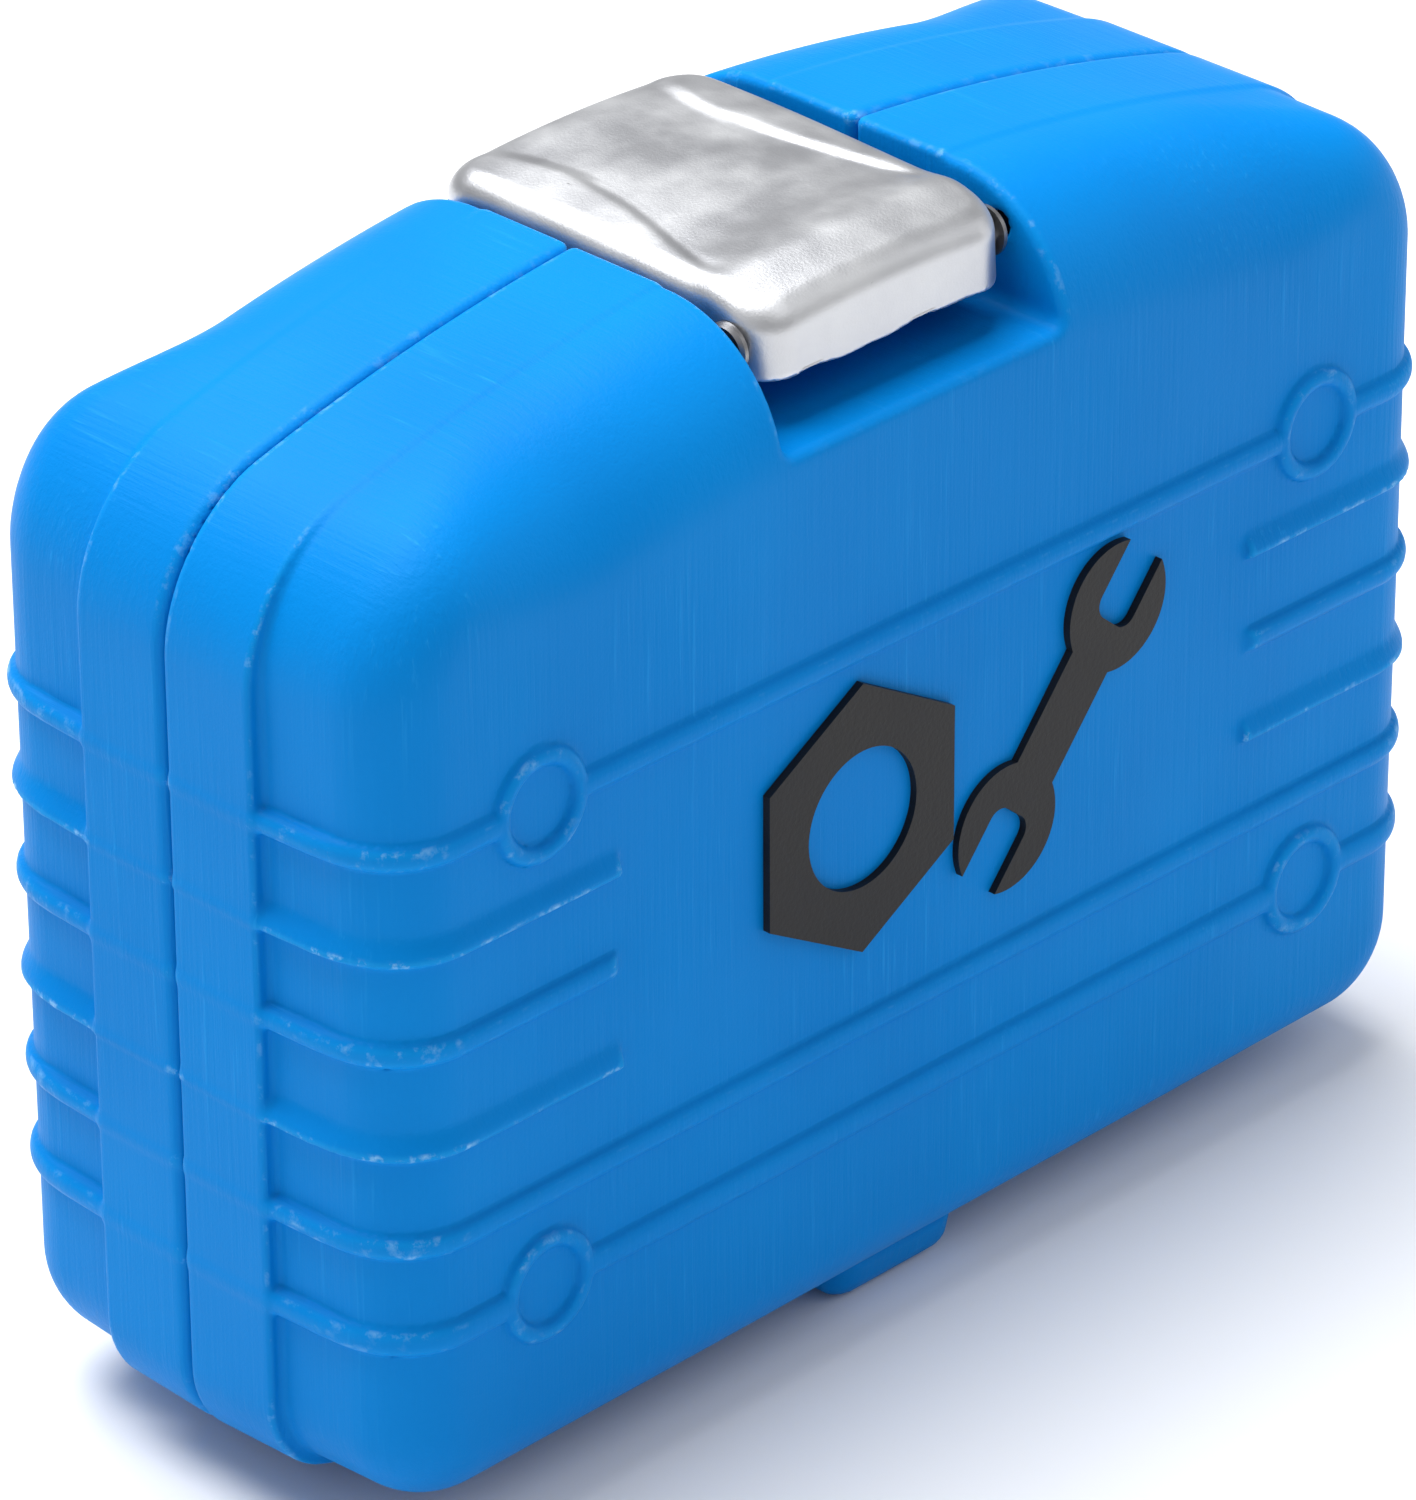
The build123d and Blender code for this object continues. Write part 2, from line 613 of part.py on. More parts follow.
cover_face = HEAD_FRONT - COVER_SHEET
with BuildPart() as cover_screws:
    with BuildSketch(Plane.XZ.offset(0.5 - cover_face)):
        with Locations(*screw_places):
            Circle(1.8)
            Rectangle(2.4, 0.5, mode=Mode.SUBTRACT)
    extrude(amount=-0.5)
    with BuildSketch(Plane.XZ.offset(0.2 - cover_face)):
        with Locations(*screw_places):
            Circle(1.0)
    extrude(amount=-6)
save(cover_screws.part, "cover_screws")

boss_face = HEAD_FRONT - 2.1
square_start = HEAD_BACK + 0.3
with BuildPart() as drive_gear:
    with BuildSketch(Plane.XZ.offset(-gear_top)):
        with BuildLine():
            teeth = []
            for step in range(2 * GEAR_TEETH):
                reach = GEAR_TIP if step % 2 else GEAR_ROOT
                turn = pi * step / GEAR_TEETH
                teeth.append((RATCHET_X + reach * cos(turn), RATCHET_Z + reach * sin(turn)))
            Polyline(*teeth, close=True)
        make_face()
    extrude(amount=gear_top - gear_bottom)
    with BuildSketch(Plane.XZ.offset(-boss_face)):
        with Locations((RATCHET_X, RATCHET_Z)):
            Circle(GEAR_BOSS)
    extrude(amount=boss_face - gear_top)
    with BuildSketch(Plane.XZ.offset(-gear_bottom)):
        with Locations((RATCHET_X, RATCHET_Z)):
            Circle(GEAR_NECK)
    extrude(amount=gear_bottom - square_start)
    with BuildSketch(Plane.XZ.offset(-square_start)):
        with Locations((RATCHET_X, RATCHET_Z)):
            Rectangle(DRIVE, DRIVE)
    extrude(amount=-SQUARE_LENGTH)
    chamfer(drive_gear.faces().sort_by(Axis.Y)[-1].edges(), 0.5)
    with BuildSketch(Plane.XZ.offset(-boss_face)):
        with Locations((RATCHET_X, RATCHET_Z)):
            Circle(BUTTON_ROD + RUNNING)
    extrude(amount=boss_face - square_start - 3.5, mode=Mode.SUBTRACT)
    with BuildSketch(Plane.YZ.offset(RATCHET_X)):
        with Locations((square_start + 4.3, RATCHET_Z)):
            Circle(BALL_RADIUS + SEATED)
    extrude(amount=DRIVE, mode=Mode.SUBTRACT)
save(drive_gear.part, "drive_gear")

with BuildPart() as drive_ball:
    with Locations((RATCHET_X + 2.8, square_start + 4.3, RATCHET_Z)):
        Sphere(BALL_RADIUS)
save(drive_ball.part, "drive_ball")

button_face = boss_face - BUTTON_TRAVEL - 0.9
with BuildPart() as release_button:
    with BuildSketch(Plane.XZ.offset(-button_face)):
        with Locations((RATCHET_X, RATCHET_Z)):
            Circle(3.4)
    extrude(amount=-0.8)
    fillet(release_button.faces().sort_by(Axis.Y)[0].edges(), 0.3)
    with BuildSketch(Plane.XZ.offset(-button_face - 0.8)):
        with Locations((RATCHET_X, RATCHET_Z)):
            Circle(BUTTON_ROD)
    extrude(amount=button_face + 0.8 - square_start - 2.4)
save(release_button.part, "release_button")

with BuildPart() as reverse_lever:
    with BuildSketch(Plane.XZ.offset(0.3 + 2 - cover_face)):
        with Locations((PAWL_X, RATCHET_Z)):
            Circle(4.6)
        with Locations((PAWL_X - 6.5, RATCHET_Z)):
            RectangleRounded(13, 4.2, 1.8)
    extrude(amount=-2)
    fillet(reverse_lever.faces().sort_by(Axis.Y)[0].edges(), 0.5)
    with BuildSketch(Plane.XZ.offset(0.3 - cover_face)):
        with Locations((PAWL_X, RATCHET_Z)):
            Circle(1.6)
    extrude(amount=-5.3)
save(reverse_lever.part, "reverse_lever")

with BuildPart() as pawl:
    with BuildSketch(Plane.XZ.offset(-gear_top)):
        with Locations((PAWL_X, RATCHET_Z)):
            Circle(4.0)
        with Locations((PAWL_X + 2.3, RATCHET_Z)):
            Rectangle(4.6, 5)
    extrude(amount=gear_top - gear_bottom)
    with BuildSketch(Plane.XZ.offset(-gear_top)):
        with Locations((PAWL_X, RATCHET_Z)):
            Circle(1.6)
    extrude(amount=gear_top - cover_face - 5.0, mode=Mode.SUBTRACT)
save(pawl.part, "pawl")


# ---- extension bars ------------------------------------------------------------------------------
def extension(name, start, length):
    """An extension bar along X, its female square at the lower X end."""
    end = start + length
    shaft = [
        (start, 14.0, 6.0),
        (start + 14.0, length - 14.0 - 8.0 - SQUARE_LENGTH, 4.0),
        (end - SQUARE_LENGTH - 8.0, 8.0, 5.4),
    ]
    with BuildPart() as piece:
        for place, run, radius in shaft:
            with BuildSketch(Plane.YZ.offset(place)):
                with Locations((BAR_Y, BAR_Z)):
                    Circle(radius)
            extrude(amount=run)
        chamfer(piece.edges().filter_by(GeomType.CIRCLE).sort_by(Axis.X)[0], 0.5)
        with BuildSketch(Plane.YZ.offset(end - SQUARE_LENGTH)):
            with Locations((BAR_Y, BAR_Z)):
                Rectangle(DRIVE, DRIVE)
        extrude(amount=SQUARE_LENGTH)
        chamfer(piece.faces().sort_by(Axis.X)[-1].edges(), 0.5)
        with BuildSketch(Plane.YZ.offset(start)):
            with Locations((BAR_Y, BAR_Z)):
                Rectangle(DRIVE + DRIVE_FIT, DRIVE + DRIVE_FIT)
        extrude(amount=9.0, mode=Mode.SUBTRACT)
        with Locations((end - 3.4, BAR_Y - 2.8, BAR_Z)):
            Sphere(BALL_RADIUS + SEATED, mode=Mode.SUBTRACT)
    save(piece.part, name)


extension("extension_long", LONG_BAR_START, LONG_BAR_LENGTH)
extension("extension_short", SHORT_BAR_START, SHORT_BAR_LENGTH)

long_end = LONG_BAR_START + LONG_BAR_LENGTH
short_end = SHORT_BAR_START + SHORT_BAR_LENGTH
with BuildPart() as extension_balls:
    with Locations((long_end - 3.4, BAR_Y - 2.8, BAR_Z), (short_end - 3.4, BAR_Y - 2.8, BAR_Z)):
        Sphere(BALL_RADIUS)
save(extension_balls.part, "extension_balls")

# ---- spinner handle ------------------------------------------------------------------------------
grip_end = SPINNER_START + SPINNER_GRIP
spinner_axis = (SPINNER_Y, SPINNER_Z)
with BuildPart() as spinner_shank:
    with BuildSketch(Plane.YZ.offset(grip_end - 30)):
        with Locations(spinner_axis):
            Circle(SHANK_RADIUS)
    extrude(amount=SHANK_END - grip_end + 30)
    with BuildSketch(Plane.YZ.offset(SHANK_END)):
        with Locations(spinner_axis):
            Rectangle(DRIVE, DRIVE)
    extrude(amount=SQUARE_LENGTH)
    chamfer(spinner_shank.faces().sort_by(Axis.X)[-1].edges(), 0.5)
    with Locations((SHANK_END + 4.1, SPINNER_Y - 2.8, SPINNER_Z)):
        Sphere(BALL_RADIUS + SEATED, mode=Mode.SUBTRACT)
save(spinner_shank.part, "spinner_shank")

with BuildPart() as spinner_ball:
    with Locations((SHANK_END + 4.1, SPINNER_Y - 2.8, SPINNER_Z)):
        Sphere(BALL_RADIUS)
save(spinner_ball.part, "spinner_ball")

with BuildPart() as spinner_grip:
    with BuildSketch(Plane.YZ.offset(SPINNER_START)):
        with Locations(spinner_axis):
            Circle(SPINNER_RADIUS)
    extrude(amount=SPINNER_GRIP)
    ends = spinner_grip.faces().sort_by(Axis.X)
    fillet(ends[0].edges(), 5.0)
    fillet(ends[-1].edges(), 3.0)
    with BuildSketch(Plane.YZ.offset(SPINNER_START + 14)):
        with Locations(spinner_axis):
            with PolarLocations(SPINNER_RADIUS + 1.8, 6):
                Circle(3.4)
    extrude(amount=SPINNER_GRIP - 34, mode=Mode.SUBTRACT)
    with BuildSketch(Plane.YZ.offset(grip_end - 14)):
        with Locations(spinner_axis):
            Circle(SPINNER_RADIUS + 1)
            Circle(SPINNER_RADIUS - 2.6, mode=Mode.SUBTRACT)
    extrude(amount=7, mode=Mode.SUBTRACT)
    with BuildSketch(Plane.YZ.offset(grip_end - 30 - SEATED)):
        with Locations(spinner_axis):
            Circle(SHANK_RADIUS + SEATED)
    extrude(amount=31, mode=Mode.SUBTRACT)
save(spinner_grip.part, "spinner_grip")

# ---- sliding T-bar -------------------------------------------------------------------------------
t_axis = (T_BAR_Y, T_BAR_Z)
t_head_back = T_BAR_Y + 6.5
t_head_front = T_BAR_Y - 6.5
with BuildPart() as t_bar:
    with BuildSketch(Plane.YZ.offset(-T_BAR_HALF)):
        with Locations(t_axis):
            Circle(T_BAR_RADIUS)
    extrude(amount=2 * T_BAR_HALF)
    for side in (-1, 1):
        with BuildSketch(Plane.YZ.offset(side * T_BAR_HALF)):
            with Locations(t_axis):
                Circle(T_BAR_RADIUS + 1)
        extrude(amount=-side * 2.0)
    ends = t_bar.faces().sort_by(Axis.X)
    chamfer(ends[0].edges() + ends[-1].edges(), 0.6)
save(t_bar.part, "t_bar")

with BuildPart() as t_head:
    with BuildSketch(Plane.XZ.offset(-t_head_back)):
        with Locations((0, T_BAR_Z)):
            Circle(6.5)
    extrude(amount=t_head_back - t_head_front)
    chamfer(t_head.edges().filter_by(GeomType.CIRCLE), 0.8)
    with BuildSketch(Plane.XZ.offset(-t_head_front)):
        with Locations((0, T_BAR_Z)):
            Rectangle(DRIVE, DRIVE)
    extrude(amount=SQUARE_LENGTH)
    chamfer(t_head.faces().sort_by(Axis.Y)[0].edges(), 0.5)
    with BuildSketch(Plane.YZ.offset(-8)):
        with Locations(t_axis):
            Circle(T_BAR_RADIUS + RUNNING)
    extrude(amount=16, mode=Mode.SUBTRACT)
    with Locations((0, t_head_front - 4.1, T_BAR_Z + 2.8)):
        Sphere(BALL_RADIUS + SEATED, mode=Mode.SUBTRACT)
save(t_head.part, "t_head")

with BuildPart() as t_head_ball:
    with Locations((0, t_head_front - 4.1, T_BAR_Z + 2.8)):
        Sphere(BALL_RADIUS)
save(t_head_ball.part, "t_head_ball")

# ---- universal joint -----------------------------------------------------------------------------
joint_axis = (JOINT_Y, JOINT_Z)
with BuildPart() as yoke_socket:
    with BuildSketch(Plane.YZ.offset(JOINT_X - YOKE_REACH)):
        with Locations(joint_axis):
            Circle(YOKE_RADIUS)
            Rectangle(DRIVE + DRIVE_FIT, DRIVE + DRIVE_FIT, mode=Mode.SUBTRACT)
    extrude(amount=YOKE_REACH - 8.5)
    with BuildSketch(Plane.YZ.offset(JOINT_X - 8.5)):
        with Locations(joint_axis):
            Circle(YOKE_RADIUS)
    extrude(amount=1.5)
    for side in (-1, 1):
        with BuildSketch(Plane.XZ.offset(-(JOINT_Y + side * 3.2))):
            with Locations((JOINT_X, JOINT_Z)):
                Circle(3.0)
            with Locations((JOINT_X - 4.0, JOINT_Z)):
                Rectangle(8.0, 6.0)
            with Locations((JOINT_X, JOINT_Z)):
                Circle(1.25, mode=Mode.SUBTRACT)
        extrude(amount=-side * 1.6)
save(yoke_socket.part, "yoke_socket")

with BuildPart() as yoke_square:
    with BuildSketch(Plane.YZ.offset(JOINT_X + 7.0)):
        with Locations(joint_axis):
            Circle(YOKE_RADIUS)
    extrude(amount=3.0)
    with BuildSketch(Plane.YZ.offset(JOINT_X + 10.0)):
        with Locations(joint_axis):
            Rectangle(DRIVE, DRIVE)
    extrude(amount=SQUARE_LENGTH)
    chamfer(yoke_square.faces().sort_by(Axis.X)[-1].edges(), 0.5)
    for side in (-1, 1):
        with BuildSketch(Plane.XY.offset(JOINT_Z + side * 3.2)):
            with Locations((JOINT_X, JOINT_Y)):
                Circle(2.9)
            with Locations((JOINT_X + 4.0, JOINT_Y)):
                Rectangle(8.0, 5.8)
            with Locations((JOINT_X, JOINT_Y)):
                Circle(1.25, mode=Mode.SUBTRACT)
        extrude(amount=side * 1.6)
    with Locations((JOINT_X + 14.1, JOINT_Y, JOINT_Z + 2.8)):
        Sphere(BALL_RADIUS + SEATED, mode=Mode.SUBTRACT)
save(yoke_square.part, "yoke_square")

with BuildPart() as yoke_ball:
    with Locations((JOINT_X + 14.1, JOINT_Y, JOINT_Z + 2.8)):
        Sphere(BALL_RADIUS)
save(yoke_ball.part, "yoke_ball")

with BuildPart() as joint_cross:
    with BuildSketch(Plane.XY.offset(JOINT_Z - 2.6)):
        with Locations((JOINT_X, JOINT_Y)):
            Rectangle(4.8, 4.8)
    extrude(amount=5.2)
    with BuildSketch(Plane.XY.offset(JOINT_Z - 4.9)):
        with Locations((JOINT_X, JOINT_Y)):
            Circle(1.2)
    extrude(amount=9.8)
    with BuildSketch(Plane.XZ.offset(-(JOINT_Y - 4.9))):
        with Locations((JOINT_X, JOINT_Z)):
            Circle(1.2)
    extrude(amount=-9.8)
save(joint_cross.part, "joint_cross")

# ---- bit holder and bits -------------------------------------------------------------------------
with BuildPart() as bit_holder:
    with BuildSketch(Plane.XY.offset(HOLDER_BASE_Z)):
        with Locations((HOLDER_X, HOLDER_Y)):
            Circle(6.0)
    extrude(amount=SOCKET_LENGTH)
    ends = bit_holder.faces().sort_by(Axis.Z)
    chamfer(ends[0].edges() + ends[-1].edges(), 0.5)
    with BuildSketch(Plane.XY.offset(HOLDER_BASE_Z)):
        with Locations((HOLDER_X, HOLDER_Y)):
            Rectangle(DRIVE + DRIVE_FIT, DRIVE + DRIVE_FIT)
    extrude(amount=9.0, mode=Mode.SUBTRACT)
    with BuildSketch(Plane.XY.offset(HOLDER_BASE_Z + SOCKET_LENGTH)):
        with Locations((HOLDER_X, HOLDER_Y)):
            RegularPolygon(BIT_HEX / 2 + 0.08, 6, major_radius=False)
    extrude(amount=-12.0, mode=Mode.SUBTRACT)
save(bit_holder.part, "bit_holder")


def bit_shank(x):
    """The hexagonal shank and round neck of a screwdriver bit standing at this X."""
    with BuildPart() as shank:
        with BuildSketch(Plane.XY.offset(BIT_BASE_Z)):
            with Locations((x, BIT_Y)):
                RegularPolygon(BIT_HEX / 2, 6, major_radius=False)
        extrude(amount=14.0)
        with BuildSketch(Plane.XY.offset(BIT_BASE_Z + 14)):
            with Locations((x, BIT_Y)):
                Circle(2.7)
        extrude(amount=9.0)
    return shank.part


TIP_BASE_Z = BIT_BASE_Z + 23
TIP_LENGTH = 7.0
bit_x = [BIT_FIRST_X + step * BIT_PITCH for step in range(4)]

with BuildPart() as bit_cross:
    add(bit_shank(bit_x[0]))
    with BuildSketch(Plane.XY.offset(TIP_BASE_Z)):
        with Locations((bit_x[0], BIT_Y)):
            Circle(2.7)
    extrude(amount=TIP_LENGTH, taper=16)
    with BuildSketch(Plane.XY.offset(TIP_BASE_Z + 1)):
        with Locations((bit_x[0], BIT_Y)):
            with PolarLocations(2.0, 4, start_angle=45):
                Rectangle(2.2, 1.6)
    extrude(amount=TIP_LENGTH, mode=Mode.SUBTRACT)
save(bit_cross.part, "bit_cross")

with BuildPart() as bit_slot:
    add(bit_shank(bit_x[1]))
    with BuildSketch(Plane.XY.offset(TIP_BASE_Z)):
        with Locations((bit_x[1], BIT_Y)):
            Rectangle(5.0, 1.2)
    extrude(amount=TIP_LENGTH)
save(bit_slot.part, "bit_slot")

with BuildPart() as bit_hex:
    add(bit_shank(bit_x[2]))
    with BuildSketch(Plane.XY.offset(TIP_BASE_Z)):
        with Locations((bit_x[2], BIT_Y)):
            RegularPolygon(2.0, 6, major_radius=False)
    extrude(amount=TIP_LENGTH)
save(bit_hex.part, "bit_hex")

with BuildPart() as bit_square:
    add(bit_shank(bit_x[3]))
    with BuildSketch(Plane.XY.offset(TIP_BASE_Z)):
        with Locations((bit_x[3], BIT_Y)):
            Rectangle(3.2, 3.2)
    extrude(amount=TIP_LENGTH)
save(bit_square.part, "bit_square")
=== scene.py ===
import json
import math

import bpy
import numpy as np
from mathutils import Matrix, Vector


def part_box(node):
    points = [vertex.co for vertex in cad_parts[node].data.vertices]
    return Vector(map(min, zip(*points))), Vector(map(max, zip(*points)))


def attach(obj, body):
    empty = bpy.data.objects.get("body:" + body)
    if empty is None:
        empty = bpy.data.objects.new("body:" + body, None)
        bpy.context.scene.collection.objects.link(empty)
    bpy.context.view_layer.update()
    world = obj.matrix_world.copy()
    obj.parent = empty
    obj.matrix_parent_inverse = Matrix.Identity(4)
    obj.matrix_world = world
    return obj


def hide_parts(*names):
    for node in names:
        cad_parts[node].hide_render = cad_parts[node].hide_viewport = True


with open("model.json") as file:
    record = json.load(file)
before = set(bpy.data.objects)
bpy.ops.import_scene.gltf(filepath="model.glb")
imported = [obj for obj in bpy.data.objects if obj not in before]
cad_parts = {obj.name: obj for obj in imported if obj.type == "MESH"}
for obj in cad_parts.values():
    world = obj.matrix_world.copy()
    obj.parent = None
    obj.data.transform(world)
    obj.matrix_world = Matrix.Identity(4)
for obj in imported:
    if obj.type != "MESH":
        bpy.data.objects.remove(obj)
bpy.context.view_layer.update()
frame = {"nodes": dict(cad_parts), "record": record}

# Everything below is built in millimetres and scaled to metres when a mesh is made.
MM = 0.001

# ---- the case's driving dimensions ---------------------------------------------------------------
PITCH = 12.0                        # distance from rib to rib
FLANGE_DEPTH = 1.13 * PITCH         # parting plane to the step behind the flange
STEP = 0.15 * PITCH                 # how far the flange stands out of the side walls
RIB_HEIGHT = 1.05                   # on the front and back faces
SIDE_RIB_EXTRA = 0.6                # the ribs stand out this much more on the ends
RIB_HALF = 1.55                     # half width of a round rib
LOWEST_RIB_HALF = 1.8
RIB_COUNT = 6
GAP = 0.15                          # each half stops this far from the parting plane


def box_mm(*nodes):
    """Lowest and highest corners of some CAD nodes together, in millimetres."""
    boxes = [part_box(node) for node in nodes]
    low = np.min([np.array(box[0]) for box in boxes], axis=0) / MM
    high = np.max([np.array(box[1]) for box in boxes], axis=0) / MM
    return low, high


shell_high = box_mm("front_shell", "back_shell")[1]
latch_low, latch_high = box_mm("latch_plate")
pivot = (box_mm("latch_pin")[0] + box_mm("latch_pin")[1]) / 2
LATCH_X = (latch_low[0] + latch_high[0]) / 2
hinge = (box_mm("hinge_pin")[0] + box_mm("hinge_pin")[1]) / 2
HALF_WIDTH = shell_high[0]
CAD_RIB = 1.1
HALF_DEPTH = shell_high[1] - CAD_RIB        # the ribs stand out of this face
WALL = 2.2
BODY_BOTTOM = 4.2
BOTTOM_STEP = 0.9
RIB_BASE = 30.2
APEX = RIB_BASE + 8.58 * PITCH      # top of the arch
ARCH_RADIUS = 22.3 * PITCH
TOP_RADIUS = 1.1 * PITCH
FACE_RADIUS = 9.0                   # edge between the front or back face and the sides
CROWN_RADIUS = 8.5                  # added to it over the middle of the top
DRAFT = math.tan(math.radians(3))   # the walls lean in towards the front and back faces
FLARE = 0.04                        # the flange's own lean
BOTTOM_RADIUS = 1.0 * PITCH
SHORT_RIB_END = 4.19 * PITCH
RING_X = 5.18 * PITCH
RING_RADIUS = 0.576 * PITCH
RING_BAND = 0.19 * PITCH
RECESS_LEFT = -24.3
RECESS_RIGHT = 19.6
NOSE_HALF = 14.0                    # the boss that carries the latch's pin
RECESS_FRONT_FLOOR = RIB_BASE + 7.25 * PITCH
RECESS_BACK = 15.0                  # from the parting plane to the end of the deep front part
RECESS_FLOOR = 126.0
REAR_FLOOR = 121.0
NOSE_RADIUS = 3.5
CATCH_DEPTH = 23.4
CATCH_WIDTH = 2.8
CATCH_TOP = 128.6
PIN_HOLE = 1.76
FRONT_LUG_HALF = 10.6
BACK_LUG_INNER = 11.0
BACK_LUG_OUTER = 21.0
LUG_REACH = 25.7                    # outer end of the lugs, from the parting plane
LUG_SLOPE = 1.5 / 6.4               # how much farther out they reach for each unit of height
LUG_OVERLAP = 1.5                   # how far the lugs reach up into the case
KNUCKLE_RADIUS = 1.95
HINGE_HOLE = 1.04


# ---- fields: negative inside, positive outside, in millimetres -----------------------------------
def meet(a, b, radius):
    """Intersection of two fields with the edge rounded."""
    over_a = np.maximum(a + radius, 0)
    over_b = np.maximum(b + radius, 0)
    return np.minimum(np.maximum(a, b), -radius) + np.hypot(over_a, over_b)


def join(a, b, radius):
    """Union of two fields with the inner corner filled."""
    return -meet(-a, -b, radius)


def cut(a, b, radius):
    """Field a without field b, its new edge rounded."""
    return meet(a, -b, radius)


def ramp(value, start, end):
    """0 before start, 1 after end, smooth between."""
    t = np.clip((value - start) / (end - start), 0, 1)
    return t * t * (3 - 2 * t)


def slab(value, low, high):
    """Distance outside the range from low to high."""
    return np.abs(value - (low + high) / 2) - (high - low) / 2


def outline(x, z, side, bottom):
    """The case seen from the front; side and bottom draw it in."""
    wall = np.abs(x) - (HALF_WIDTH - side)
    floor = BODY_BOTTOM + bottom - z
    arch = np.hypot(x, z - (APEX - ARCH_RADIUS)) - ARCH_RADIUS
    return meet(meet(wall, arch, TOP_RADIUS), floor, BOTTOM_RADIUS)


def round_top(offset, half):
    """A half-round section, 1 in the middle and 0 from half outwards."""
    return np.sqrt(np.clip(1 - (offset / half) ** 2, 0, 1))


def rib_relief(x, z, depth):
    """How far the ribs and rings stand out of the skin, from 0 to 1."""
    relief = np.zeros(np.broadcast(x, z, depth).shape)
    on_front = ramp(depth, 22, 28)
    for row in range(RIB_COUNT):
        offset = z - (RIB_BASE + row * PITCH)
        if row == 0:
            profile = round_top(offset, LOWEST_RIB_HALF)
        elif row % 2:
            profile = round_top(offset, RIB_HALF)
        else:
            profile = ramp(-offset, -2.6, 0.5) * ramp(offset, -1.5, -0.7)
        if 1 < row < RIB_COUNT - 1:
            end = 2.0 if row % 2 else 0.7
            beyond = ramp(np.abs(x), SHORT_RIB_END, SHORT_RIB_END + end)
            profile = profile * (1 - on_front * (1 - beyond))
        if row in (0, RIB_COUNT - 1):
            away = np.hypot(np.abs(x) - RING_X, offset)
            clear = ramp(away, RING_RADIUS - 1.2, RING_RADIUS - 0.4)
            band = round_top(away - RING_RADIUS + RING_BAND / 2, RING_BAND / 2)
            profile = np.where(on_front > 0.5, np.maximum(profile * clear, band), profile)
        relief = np.maximum(relief, profile)
    return relief


def body_field(x, depth, z):
    """One half of the case as a solid block with flange and ribs. depth runs from the parting plane."""
    draft = DRAFT * np.maximum(depth - FLANGE_DEPTH, 0)
    flare = FLARE * np.minimum(depth, FLANGE_DEPTH)
    skin = outline(x, z, STEP + draft, BOTTOM_STEP + 0.4 * flare + 0.3 * draft)
    crown = ramp(z, 92, 120) * (1 - ramp(np.abs(x), 52, 78))
    wave = 0.10 * np.sin(x / 11.0 + 1.3) * np.sin(z / 14.0) * ramp(depth, 25, 31)
    main = meet(skin, depth - HALF_DEPTH + wave, FACE_RADIUS + CROWN_RADIUS * crown)
    on_side = 1 - ramp(depth, 20, 27)
    main = main - (RIB_HEIGHT + SIDE_RIB_EXTRA * on_side) * rib_relief(x, z, depth)
    flange = meet(outline(x, z, 0, flare), depth - FLANGE_DEPTH, 0.7)
    return join(main, flange, 0.8)


def recess_field(x, y, z):
    """The space that the latch lies in, through both halves."""
    front = np.maximum(RECESS_FRONT_FLOOR - z, y + RECESS_BACK)
    middle = np.maximum(RECESS_FLOOR - z, y - (CATCH_DEPTH - CATCH_WIDTH))
    catch = CATCH_TOP - z
    rear = np.maximum(REAR_FLOOR - z, CATCH_DEPTH - y)
    space = np.minimum(np.minimum(front, middle), np.minimum(catch, rear))
    return meet(space, slab(x, RECESS_LEFT, RECESS_RIGHT), 1.6)


def nose_field(x, y, z):
    """The boss on the front half that carries the latch's pivot pin."""
    across = np.abs(x - LATCH_X) - NOSE_HALF
    round_end = np.hypot(y - pivot[1], z - pivot[2]) - NOSE_RADIUS
    web = slab(z, pivot[2] - NOSE_RADIUS, pivot[2] + NOSE_RADIUS - 1)
    web = np.maximum(slab(y, pivot[1], -RECESS_BACK + 1), web)
    return meet(np.minimum(round_end, web), across, 0.6)


def lug_field(x, y, z, side):
    """The hinge lug of the front half, or the two of the back half."""
    if side < 0:
        across = np.abs(x) - FRONT_LUG_HALF
    else:
        across = slab(np.abs(x), BACK_LUG_INNER, BACK_LUG_OUTER)
    depth = side * y
    axis = np.hypot(y, z - hinge[2])
    outer = (depth - LUG_REACH - LUG_SLOPE * z) / math.hypot(1, LUG_SLOPE)
    corner = 3.6 * ramp(depth, 2.0, 9.0) + 0.5
    block = np.maximum(meet(meet(outer, -z, 2.6), across, corner), -depth)
    knuckle = meet(axis - KNUCKLE_RADIUS, across, 0.5)
    whole = np.maximum(np.minimum(block, knuckle), z - BODY_BOTTOM - LUG_OVERLAP)
    return cut(whole, axis - HINGE_HOLE, 0.1)


def shell_field(side):
    """The field of one half of the case: side is -1 for the front half and 1 for the back half."""
    edge = 0.9 if side < 0 else 1.5

    def field(x, y, z):
        depth = side * y
        solid = cut(body_field(x, depth, z), recess_field(x, y, z), 1.2)
        cavity = solid + WALL
        if side < 0:
            nose = nose_field(x, y, z)
            bore = np.hypot(y - pivot[1], z - pivot[2]) - PIN_HOLE
            solid = cut(join(solid, nose, 0.6), np.maximum(bore, np.abs(x) - 30), 0.1)
            cavity = np.maximum(cavity, -nose)
        skin = cut(meet(solid, GAP - depth, edge), cavity, 0.6)
        knuckle_side = -depth - KNUCKLE_RADIUS - 0.15
        return np.minimum(skin, np.maximum(lug_field(x, y, z, side), knuckle_side))

    return field


